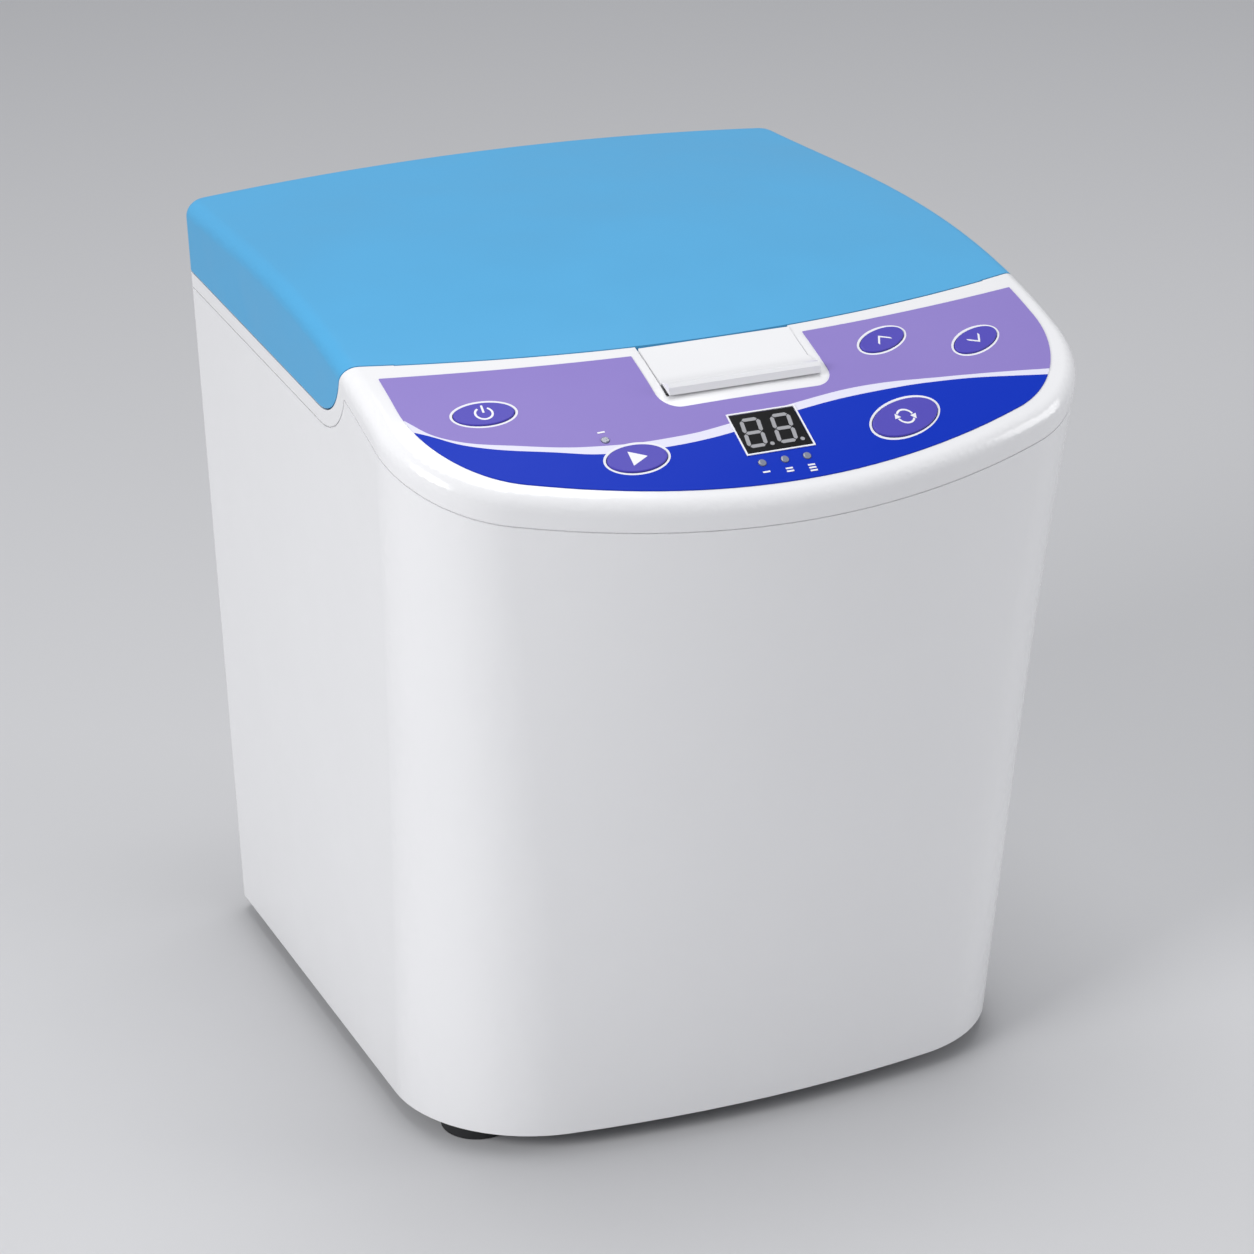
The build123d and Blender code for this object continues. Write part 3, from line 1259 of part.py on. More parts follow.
def cup_carrier():
    r = CUP_R + CLEAR
    floor = Cylinder(r + CARRIER_WALL, CARRIER_FLOOR, align=(Align.CENTER, Align.CENTER, Align.MAX))
    wall = Cylinder(r + CARRIER_WALL, CARRIER_H, align=(Align.CENTER, Align.CENTER, Align.MIN))
    wall -= Cylinder(r, CARRIER_H, align=(Align.CENTER, Align.CENTER, Align.MIN))
    body = floor + wall
    body = fillet(body.edges().group_by(Axis.Z)[0], 2.0)
    slot = Box(12.0, 4 * r, CARRIER_H * 0.5, align=(Align.CENTER, Align.MIN, Align.CENTER))
    for i in range(CARRIER_WINDOWS):
        body -= Rot(0, 0, i * 360 / CARRIER_WINDOWS) * Pos(0, 0, CARRIER_H * 0.5) * slot
    stub = Cylinder(STUB_R, ROLLER_DOWN + ROLLER_H - CUP_H / 2, align=(Align.CENTER, Align.CENTER, Align.MAX))
    return on_cup_axis(body + stub, CUP_H / 2)


def roller_cone(outer_off):
    """Cone that rolls on the track, outer_off smaller all round."""
    top = (APEX_TO_CUP + ROLLER_DOWN) * tan(ROLLER_ANGLE) - outer_off
    low = (APEX_TO_CUP + ROLLER_DOWN + ROLLER_H) * tan(ROLLER_ANGLE) - outer_off
    return Cone(low, top, ROLLER_H, align=(Align.CENTER, Align.CENTER, Align.MAX))


def drive_roller():
    body = roller_cone(ROLLER_TYRE)
    body -= Cylinder(STUB_R, 3 * ROLLER_H)
    return on_cup_axis(body, ROLLER_DOWN)


def roller_tyre():
    return on_cup_axis(roller_cone(0.0) - roller_cone(ROLLER_TYRE), ROLLER_DOWN)


def mixing_cup():
    body = Cylinder(CUP_R, CUP_H)
    body = fillet(body.edges().group_by(Axis.Z)[0], 4.0)
    hollow = Pos(0, 0, CUP_WALL) * Cylinder(CUP_R - CUP_WALL, CUP_H)
    hollow = fillet(hollow.edges().group_by(Axis.Z)[0], 5.0)
    return on_cup_axis(body - hollow)


def cup_cap():
    top = CUP_H / 2 + CLEAR
    r = CUP_R + CAP_OVERHANG
    standing = (Align.CENTER, Align.CENTER, Align.MIN)
    body = Pos(0, 0, top - CAP_SKIRT) * Cylinder(r, CAP_SKIRT + CAP_H, align=standing)
    body -= Pos(0, 0, top - CAP_SKIRT) * Cylinder(CUP_R + CLEAR, CAP_SKIRT, align=standing)
    body = fillet(body.edges().group_by(Axis.Z)[-1], 2.0)
    for i in range(CAP_RIBS):
        groove = Pos(r, 0, top - CAP_SKIRT / 2) * Cylinder(0.7, CAP_SKIRT * 0.8)
        body -= Rot(0, 0, i * 360 / CAP_RIBS) * groove
    grip = Pos(0, 0, top + CAP_H) * Box(2 * r - CAP_SKIRT * 1.5, CAP_GRIP_W, CAP_GRIP_H, align=standing)
    return on_cup_axis(body + fillet(grip.edges().group_by(Axis.Z)[-1], 1.5))


# ---------------------------------------------------------------- electronics
def driver_spots():
    dx, dy = DRIVER_L / 2 - 6.0, DRIVER_W / 2 - 6.0
    return [(DRIVER_X + sx * dx, DRIVER_Y + sy * dy) for sx in (-1, 1) for sy in (-1, 1)]


def driver_board():
    z = PLATE_TOP + STANDOFF_H
    board = block(DRIVER_X, DRIVER_Y, z, DRIVER_L, DRIVER_W, BOARD_T)
    for x, y in driver_spots():
        board -= cyl(x, y, z - 1, M3_R + SCREW_CLEAR, BOARD_T + 2)
    return board


def standoff(x, y):
    body = Pos(x, y, PLATE_TOP) * extrude(RegularPolygon(STANDOFF_R, 6), STANDOFF_H)
    return body - cyl(x, y, PLATE_TOP - 1, M3_R + SCREW_CLEAR, STANDOFF_H + 2)


def driver_parts():
    z = PLATE_TOP + STANDOFF_H + BOARD_T
    parts = [cyl(DRIVER_X + dx, DRIVER_Y + dy, z, CAPACITOR_R, CAPACITOR_H) for dx, dy in CAPACITOR_SPOTS]
    dx, dy, length, width, height = SINK
    sink = on_board(SINK)
    first = DRIVER_X + dx - SINK_PITCH * (SINK_SLOTS - 1) / 2
    for i in range(SINK_SLOTS):
        x = first + i * SINK_PITCH
        sink -= block(x, DRIVER_Y + dy + SINK_BASE, z + SINK_BASE, SINK_SLOT_W, width, height)
    return parts + [sink, on_board(INLET_HEADER), on_board(MOTOR_HEADER), on_board(PANEL_HEADER)]


def on_board(part):
    """Box standing on the driver board."""
    dx, dy, length, width, height = part
    return block(DRIVER_X + dx, DRIVER_Y + dy, PLATE_TOP + STANDOFF_H + BOARD_T, length, width, height)


def lead_end(part):
    """Where a lead meets the top of a header on the driver board."""
    dx, dy, length, width, height = part
    return DRIVER_X + dx, DRIVER_Y + dy, PLATE_TOP + STANDOFF_H + BOARD_T + height + CLEAR


def inlet_frame(solid):
    """Place a solid drawn with +Z out of the rear wall at the inlet."""
    return wall_plane(INLET_X, INLET_Z).location * solid


def wall_box(x, y, w, h, low, high):
    """Box in the inlet's frame between two depths, low is inside."""
    return Pos(x, y, low) * Box(w, h, high - low, align=(Align.CENTER, Align.CENTER, Align.MIN))


def power_inlet():
    body = wall_box(0, 0, INLET_W, INLET_H, 0.0, INLET_FLANGE_T)
    body = fillet(body.edges().filter_by(Axis.Z), 3.0)
    body += wall_box(0, 0, INLET_BODY_W, INLET_BODY_H, -INLET_DEPTH, 0.5)
    top = INLET_FLANGE_T
    body -= wall_box(SOCKET_DX, 0, SOCKET_W, SOCKET_H, top - SOCKET_DEPTH, top + 1)
    room_w, room_h = DRAWER_W + 2 * SLIDE_CLEAR, DRAWER_H + 2 * SLIDE_CLEAR
    body -= wall_box(DRAWER_DX, 0, room_w, room_h, top - DRAWER_DEPTH - CLEAR, top + 1)
    return inlet_frame(body)


def fuse_drawer():
    top = INLET_FLANGE_T
    body = wall_box(DRAWER_DX, 0, DRAWER_W, DRAWER_H, top - DRAWER_DEPTH, top)
    inside = DRAWER_W - 2 * DRAWER_WALL
    body -= wall_box(
        DRAWER_DX, DRAWER_WALL, inside, DRAWER_H, top - DRAWER_DEPTH + DRAWER_WALL, top - WALL)
    body += wall_box(DRAWER_DX, 0, DRAWER_W * 0.5, 3.0, top, top + 1.6)
    return inlet_frame(body)


def fuse():
    top = INLET_FLANGE_T
    tube = Cylinder(FUSE_R, DRAWER_H * 0.8, rotation=(90, 0, 0))
    return inlet_frame(Pos(DRAWER_DX, -FUSE_UP - 2 * CLEAR, top - FUSE_DEPTH) * tube)


def inlet_pins():
    top = INLET_FLANGE_T - SOCKET_DEPTH
    return [inlet_frame(wall_box(SOCKET_DX + x, y, 2.0, 4.0, top, top + PIN_LENGTH)) for x, y in PIN_SPOTS]


def lead(points, radius):
    """Lead along straight runs joined by arcs."""
    bends = []
    for i in range(1, len(points) - 1):
        a = Vector(*points[i]) - Vector(*points[i - 1])
        b = Vector(*points[i + 1]) - Vector(*points[i])
        bends.append(0.45 * min(a.length, b.length) / tan(radians(a.get_angle(b)) / 2))
    path = FilletPolyline(*points, radius=bends)
    start = Plane(path @ 0, z_dir=path % 0)
    return sweep(start * Circle(radius), path)


def inlet_lead():
    back = wall_plane(INLET_X, INLET_Z).location * Pos(0, 0, -INLET_DEPTH)
    p = back.position
    end = lead_end(INLET_HEADER)
    y = p.Y - 2 * CLEAR
    start = [(p.X, y, p.Z), (p.X, y - LEAD_RISE / 2, p.Z)]
    return lead(start + list(INLET_ROUTE) + [(end[0], end[1], INLET_DROP), end], LEAD_R)


def motor_lead():
    x, y, z = lead_end(MOTOR_HEADER)
    top = MOUNT_Z - MOTOR_H * 0.45
    wall = CHAMBER_Y - MOTOR_R
    return lead([
        (x, y, z), (x, y, z + LEAD_RISE), (x / 2, wall - 1.5 * LEAD_RISE, top - CLEAR),
        (0.0, wall - LEAD_RISE / 2, top), (0.0, wall - CLEAR, top)], LEAD_R)


def panel_lead():
    x, y, z = lead_end(PANEL_HEADER)
    plane = board_plane()
    end = board_spot(PANEL_LEAD_X, BOARD_Y) - plane.z_dir * (BOARD_T + CLEAR)
    near = end - plane.z_dir * LEAD_RISE
    finish = [(near.X, near.Y, near.Z), (end.X, end.Y, end.Z)]
    return lead([(x, y, z), (x, y, z + LEAD_RISE)] + list(PANEL_ROUTE) + finish, LEAD_R)


# ---------------------------------------------------------------- write the nodes
def save(name, shape):
    """Write one node; a list becomes a group of separate solids."""
    pieces = list(shape) if isinstance(shape, (list, tuple)) else [shape]
    solids = [solid for piece in pieces for solid in piece.solids()]
    node = solids[0] if len(solids) == 1 else Compound(children=solids)
    node.label = name
    export_step(node, os.path.join("parts", name + ".step"))
    return node


def build():
    """Make every node and write it."""
    outer = form(0.0)
    inner = form(WALL, 2.0)
    body = rounded_top(outer & under_top(), EDGE_R)
    inner_top = rounded_top(inner & under_top(WALL), EDGE_R - WALL)
    nodes = {
        "lower_housing": lower_housing(outer, inner),
        "upper_frame": upper_frame(body, inner_top),
        "base_plate": base_plate(),
        "rubber_feet": [foot(x, y) for x, y in foot_spots()],
        "foot_screws": [
            up_screw(x, y, PLATE_Z / 2, M4_R, M4_HEAD_R, M4_HEAD_H, PLATE_Z / 2 + PLATE_T + 3.0)
            for x, y in foot_spots()],
        "plate_screws": [
            up_screw(x, y, PLATE_Z, M3_R, M3_HEAD_R, 1.4, PLATE_T + LEDGE_T + 2.0) for x, y in screw_spots()],
        "frame_screws": [
            down_screw(x, y, WELL_Z, M3_R, M3_HEAD_R, M3_HEAD_H, WALL + CLEAR + SCREW_BITE)
            for x, y in post_spots()] + [board_screw(x, y) for x, y in BOARD_POSTS],
        "lid_shell": lid_shell(body, inner_top),
        "lid_liner": lid_liner(),
        "liner_screws": [
            up_screw(x, y, LINER_Z, M3_R, M3_HEAD_R, M3_HEAD_H, LINER_T + SCREW_BITE) for x, y in liner_spots()],
        "lid_gasket": lid_gasket(),
        "lid_strike": strike(),
        "lid_magnet": cyl(SENSOR_X, SENSOR_Y, LINER_Z - 2.5, MAGNET_R, 2.5),
        "lid_sensor": block(SENSOR_X, SENSOR_Y, WELL_UNDER - 5.0, 14.0, 9.0, 5.0),
        "lid_hinge_leaves": [hinge_leaf_plate(side * HINGE_X, False) for side in (-1, 1)],
        "rear_hinge_leaves": [hinge_leaf_plate(side * HINGE_X, True) for side in (-1, 1)],
        "hinge_pins": [hinge_pin(side * HINGE_X) for side in (-1, 1)],
        "lid_leaf_screws": [leaf_screw(p) for p in leaf_screw_planes(False)],
        "rear_leaf_screws": [leaf_screw(p) for p in leaf_screw_planes(True)],
        "latch_tab": latch_tab(),
        "latch_springs": [latch_spring(x) for x in (-SPRING_X, SPRING_X)],
        "control_overlay": overlay(),
        "display_module": display_module(),
        "display_segments": display_segments(),
        "indicator_lamps": [lamp(p) for p in lamp_planes()],
        "control_board": control_board(),
        "key_switches": [key_switch(name) for name in KEYS],
        "chamber_bowl": chamber_bowl(),
        "drip_collar": drip_collar(),
        "motor_case": motor_case(),
        "motor_magnets": [motor_magnet(side) for side in (-1, 1)],
        "motor_mount": motor_mount(),
        "mount_posts": [mount_post(x, y) for x, y in mount_post_spots()],
        "mount_dampers": [mount_damper(x, y) for x, y in mount_post_spots()],
        "drive_screws": [
            down_screw(x, y, MOUNT_TOP, M4_R, M4_HEAD_R, M4_HEAD_H, MOUNT_T + DAMPER_H + SCREW_BITE)
            for x, y in mount_post_spots()] + [
            down_screw(x, y, MOUNT_TOP + HOUSING_FLANGE_T, M4_R, M4_HEAD_R, M4_HEAD_H,
                       HOUSING_FLANGE_T + MOUNT_T + MOTOR_WALL)
            for x, y in round_spots(4, MOTOR_R - 8.0, pi / 4)],
        "bearing_housing": bearing_housing(),
        "spindle_bearings": [spindle_bearing(z) for z in bearing_levels()]
        + [motor_bearing(), bearing_spacer()],
        "drive_track": drive_track(),
        "track_tyre": track_tyre(),
        "track_screws": [track_screw(x, y) for x, y in track_screw_spots()],
        "spindle": spindle(),
        "motor_armature": armature(),
        "rotor_arm": rotor_arm(),
        "rotor_nut": rotor_nut(),
        "counterweight": [counterweight()] + [weight_screw(y) for y in weight_screw_ys()],
        "cup_bearing": cup_bearing(),
        "cup_carrier": cup_carrier(),
        "drive_roller": [drive_roller(), roller_tyre()],
        "mixing_cup": mixing_cup(),
        "cup_cap": cup_cap(),
        "driver_board": [driver_board()] + driver_parts(),
        "driver_standoffs": [standoff(x, y) for x, y in driver_spots()]
        + [down_screw(x, y, PLATE_TOP + STANDOFF_H + BOARD_T, M3_R, M3_HEAD_R, M3_HEAD_H, BOARD_T + 6.0)
           for x, y in driver_spots()],
        "power_inlet": [power_inlet()] + inlet_pins(),
        "fuse_drawer": [fuse_drawer(), fuse()],
        "inner_leads": [inlet_lead(), motor_lead(), panel_lead()],
    }
    for name in KEYS:
        nodes[name + "_key"] = key(name)
    for name, shape in nodes.items():
        save(name, shape)
    return nodes


if __name__ == "__main__":
    os.makedirs("parts", exist_ok=True)
    NODES = build()
    print("nodes", len(NODES))
    print("cup turns per rotor turn", round(SPIN_RATIO, 5))
    print("hinge axis", round(hinge_axis_y(), 3), SEAM_REAR_Z)
    print("least gap between the springs' turns", round(SPRING_PITCH - SPRING_WIRE, 2))
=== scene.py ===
"""Dental impression mixer: finishes, printed panel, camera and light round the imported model."""

from __future__ import annotations

import logging
import math
from dataclasses import dataclass, field
from enum import Enum
from typing import Iterable, Sequence

import bmesh
import bpy
from mathutils import Matrix, Vector


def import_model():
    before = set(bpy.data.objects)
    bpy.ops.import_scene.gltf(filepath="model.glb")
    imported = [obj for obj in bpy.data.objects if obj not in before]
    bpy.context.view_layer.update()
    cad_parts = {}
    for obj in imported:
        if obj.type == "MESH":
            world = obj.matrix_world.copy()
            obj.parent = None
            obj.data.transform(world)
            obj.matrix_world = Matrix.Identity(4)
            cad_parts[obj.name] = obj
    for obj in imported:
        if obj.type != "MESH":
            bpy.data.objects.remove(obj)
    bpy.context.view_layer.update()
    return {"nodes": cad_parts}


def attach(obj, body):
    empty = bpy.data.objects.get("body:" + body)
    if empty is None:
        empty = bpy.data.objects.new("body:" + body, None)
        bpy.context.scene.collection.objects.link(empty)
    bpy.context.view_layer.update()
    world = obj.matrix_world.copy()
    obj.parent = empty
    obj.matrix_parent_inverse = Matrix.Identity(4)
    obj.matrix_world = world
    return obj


LOG = logging.getLogger("mixer")
MICRON = 0.000001

Triple = tuple[float, float, float]
Color = Triple
Place = Triple
Point = tuple[float, float]
Ribbon = list[tuple[Point, Point]]


# ---------- shapes shared with the solids
@dataclass(frozen=True)
class TopSurface:
    """The crowned surface of the lid and the panel, in metres."""

    rear_y: float = 0.146
    span: float = 0.300
    rear_z: float = 0.315
    slope: float = 0.00066
    rise: float = 0.04636
    fall: float = -0.09708
    crown: float = 0.0054
    crown_half: float = 0.128

    def height(self, x: float, y: float) -> float:
        """Height of the surface over a point of the table.

        Args:
            x: Place across the object.
            y: Place along the object.

        Returns:
            The height above the table.
        """
        t = (self.rear_y - y) / self.span
        ridge = self.rear_z + self.slope * t + self.rise * t**2 + self.fall * t**3
        return ridge + self.crown * (1 - (x / self.crown_half) ** 2)

    def normal(self, x: float, y: float) -> Vector:
        """Outward direction of the surface over a point of the table.

        Args:
            x: Place across the object.
            y: Place along the object.

        Returns:
            A unit vector.
        """
        t = (self.rear_y - y) / self.span
        along = -(self.slope + 2 * self.rise * t + 3 * self.fall * t**2) / self.span
        across = -2 * self.crown * x / self.crown_half**2
        return Vector((-across, -along, 1.0)).normalized()

    def frame(self, x: float, y: float, turn: float = 0.0, lift: float = 0.0) -> Matrix:
        """Matrix that lays flat work on the surface.

        Args:
            x: Place across the panel.
            y: Place along the panel.
            turn: Turn in the plane of the panel, in degrees.
            lift: Distance above the surface.

        Returns:
            A 4x4 matrix whose Z axis is the surface's normal.
        """
        up = self.normal(x, y)
        angle = math.radians(turn)
        ahead = Vector((math.cos(angle), math.sin(angle), 0.0))
        ahead = (ahead - up * ahead.dot(up)).normalized()
        side = up.cross(ahead)
        matrix = Matrix((ahead, side, up)).transposed().to_4x4()
        matrix.translation = Vector((x, y, self.height(x, y))) + up * lift
        return matrix


TOP = TopSurface()


@dataclass(frozen=True)
class KeyPlace:
    """Where one oval key lies on the panel, in metres and degrees."""

    name: str
    x: float
    y: float
    half_length: float
    half_width: float
    turn: float


KEYS: tuple[KeyPlace, ...] = (
    KeyPlace("power", -0.1002, -0.0986, 0.0112, 0.0059, -7.0),
    KeyPlace("start", -0.0554, -0.1310, 0.0114, 0.0063, -1.0),
    KeyPlace("up", 0.0604, -0.0939, 0.0112, 0.0053, 24.0),
    KeyPlace("down", 0.0972, -0.0987, 0.0118, 0.0053, 27.0),
    KeyPlace("select", 0.0507, -0.1315, 0.0150, 0.0077, 17.0),
)


# ---------- finishes
class Surface(Enum):
    """How a finish is made up."""

    MOULDED = "moulded"
    BRUSHED = "brushed"
    TURNED = "turned"
    CAST = "cast"
    RUBBER = "rubber"
    FILM = "film"
    BOARD = "board"
    WINDING = "winding"


@dataclass(frozen=True)
class Finish:
    """One finish and the numbers that it is made from: grain per metre, depth in metres."""

    name: str
    color: Color
    surface: Surface
    roughness: float = 0.35
    metallic: float = 0.0
    coat: float = 0.0
    tint: float = 0.04
    grain: float = 900.0
    depth: float = 20 * MICRON
    specular: float = 0.5


WHITE = Finish(
    "white_moulding", (0.862, 0.86, 0.87), Surface.MOULDED, 0.2, coat=0.3, tint=0.012, grain=1400,
    depth=4 * MICRON)
BLUE = Finish(
    "sky_blue_moulding", (0.084, 0.395, 0.70), Surface.MOULDED, 0.46, grain=1500,
    depth=10 * MICRON, specular=0.3)
LINER = Finish(
    "liner_moulding", (0.78, 0.79, 0.80), Surface.MOULDED, 0.45, grain=1200, depth=10 * MICRON)
KEY_VIOLET = Finish(
    "key_violet", (0.082, 0.066, 0.46), Surface.FILM, 0.42, tint=0.05, grain=2200,
    depth=6 * MICRON, specular=0.25)
PRINT_WHITE = Finish(
    "print_white", (0.86, 0.86, 0.9), Surface.FILM, 0.4, tint=0.02, grain=2400, depth=3 * MICRON)
DISPLAY = Finish(
    "display_window", (0.005, 0.005, 0.006), Surface.MOULDED, 0.3, tint=0.1,
    depth=2 * MICRON, specular=0.12)
SEGMENT = Finish(
    "unlit_segment", (0.36, 0.36, 0.38), Surface.MOULDED, 0.4, tint=0.06, grain=1800,
    depth=3 * MICRON, specular=0.2)
LAMP = Finish(
    "lamp_lens", (0.22, 0.24, 0.32), Surface.MOULDED, 0.16, coat=0.4, tint=0.1, grain=1500,
    depth=3 * MICRON)
BLACK_RUBBER = Finish(
    "black_rubber", (0.018, 0.018, 0.02), Surface.RUBBER, 0.72, tint=0.25, grain=1400,
    depth=50 * MICRON)
BROWN_RUBBER = Finish(
    "drive_rubber", (0.06, 0.035, 0.022), Surface.RUBBER, 0.7, tint=0.25, grain=1200,
    depth=40 * MICRON)
GREY_RUBBER = Finish("seal_rubber", (0.19, 0.20, 0.215), Surface.RUBBER, 0.62, tint=0.12, grain=1300)
SHEET = Finish(
    "stainless_sheet", (0.52, 0.53, 0.55), Surface.BRUSHED, 0.3, metallic=1.0, tint=0.16, grain=700,
    depth=8 * MICRON)
TURNED = Finish(
    "turned_steel", (0.46, 0.47, 0.49), Surface.TURNED, 0.24, metallic=1.0, tint=0.14, depth=6 * MICRON)
ZINC = Finish(
    "zinc_screw", (0.58, 0.58, 0.55), Surface.TURNED, 0.36, metallic=1.0, tint=0.18, grain=800,
    depth=6 * MICRON)
CAST = Finish(
    "cast_aluminium", (0.47, 0.48, 0.49), Surface.CAST, 0.48, metallic=1.0, tint=0.12, grain=700,
    depth=60 * MICRON)
RING = Finish(
    "bearing_ring", (0.62, 0.63, 0.65), Surface.TURNED, 0.14, metallic=1.0, tint=0.08, grain=1100,
    depth=3 * MICRON)
ENAMEL = Finish(
    "motor_enamel", (0.022, 0.022, 0.026), Surface.CAST, 0.38, tint=0.2, grain=500, depth=40 * MICRON)
MAGNET = Finish(
    "sintered_magnet", (0.05, 0.05, 0.053), Surface.CAST, 0.7, tint=0.25, depth=50 * MICRON)
WINDING = Finish(
    "varnished_winding", (0.32, 0.11, 0.035), Surface.WINDING, 0.34, metallic=0.6, tint=0.3, grain=420,
    depth=200 * MICRON)
BOARD = Finish("solder_mask", (0.012, 0.10, 0.04), Surface.BOARD, 0.32, tint=0.5, grain=160)
BLACK = Finish("black_moulding", (0.02, 0.02, 0.022), Surface.MOULDED, 0.5, tint=0.15, grain=1100)
CUP = Finish("cup_moulding", (0.72, 0.74, 0.77), Surface.MOULDED, 0.34, grain=1100, depth=10 * MICRON)
CAP = Finish(
    "cap_moulding", (0.04, 0.15, 0.46), Surface.MOULDED, 0.4, tint=0.08, grain=1100, depth=10 * MICRON)
LEAD = Finish("lead_sleeve", (0.03, 0.03, 0.035), Surface.RUBBER, 0.5, tint=0.15, grain=1500)


class NodeWork:
    """Adds nodes to one tree and joins them."""

    tree: bpy.types.NodeTree

    def node(self, kind: str, **settings: object) -> bpy.types.Node:
        """Add a node.

        Args:
            kind: The node's type in Blender.
            **settings: Properties that are set on it.

        Returns:
            The new node.
        """
        made = self.tree.nodes.new(kind)
        for key, value in settings.items():
            setattr(made, key, value)
        return made

    def link(self, source: bpy.types.NodeSocket, target: bpy.types.NodeSocket) -> None:
        """Join two sockets."""
        self.tree.links.new(source, target)

    def chain(self, *nodes: bpy.types.Node) -> None:
        """Join the first output of each node to the first input of the next."""
        for one, two in zip(nodes, nodes[1:]):
            self.link(one.outputs[0], two.inputs[0])


@dataclass
class TreeBuilder(NodeWork):
    """Builds one group of nodes with named sockets."""

    name: str
    kind: str = "ShaderNodeTree"
    tree: bpy.types.NodeTree = field(init=False)

    def __post_init__(self) -> None:
        """Start an empty group."""
        self.tree = bpy.data.node_groups.new(self.name, self.kind)

    def add_input(self, name: str, default: float | None = None, kind: str = "Float") -> str:
        """Add an input.

        Args:
            name: The input's name.
            default: Its value when nothing is joined to it, if it has one.
            kind: What it takes, such as Float or Geometry.

        Returns:
            The input's identifier.
        """
        socket = self.tree.interface.new_socket(name=name, in_out="INPUT", socket_type=f"NodeSocket{kind}")
        if default is not None:
            socket.default_value = default
        return socket.identifier

    def add_output(self, name: str, kind: str = "Float") -> None:
        """Add an output."""
        self.tree.interface.new_socket(name=name, in_out="OUTPUT", socket_type=f"NodeSocket{kind}")

    def ends(self) -> tuple[bpy.types.Node, bpy.types.Node]:
        """The group's input and output nodes."""
        return self.node("NodeGroupInput"), self.node("NodeGroupOutput")


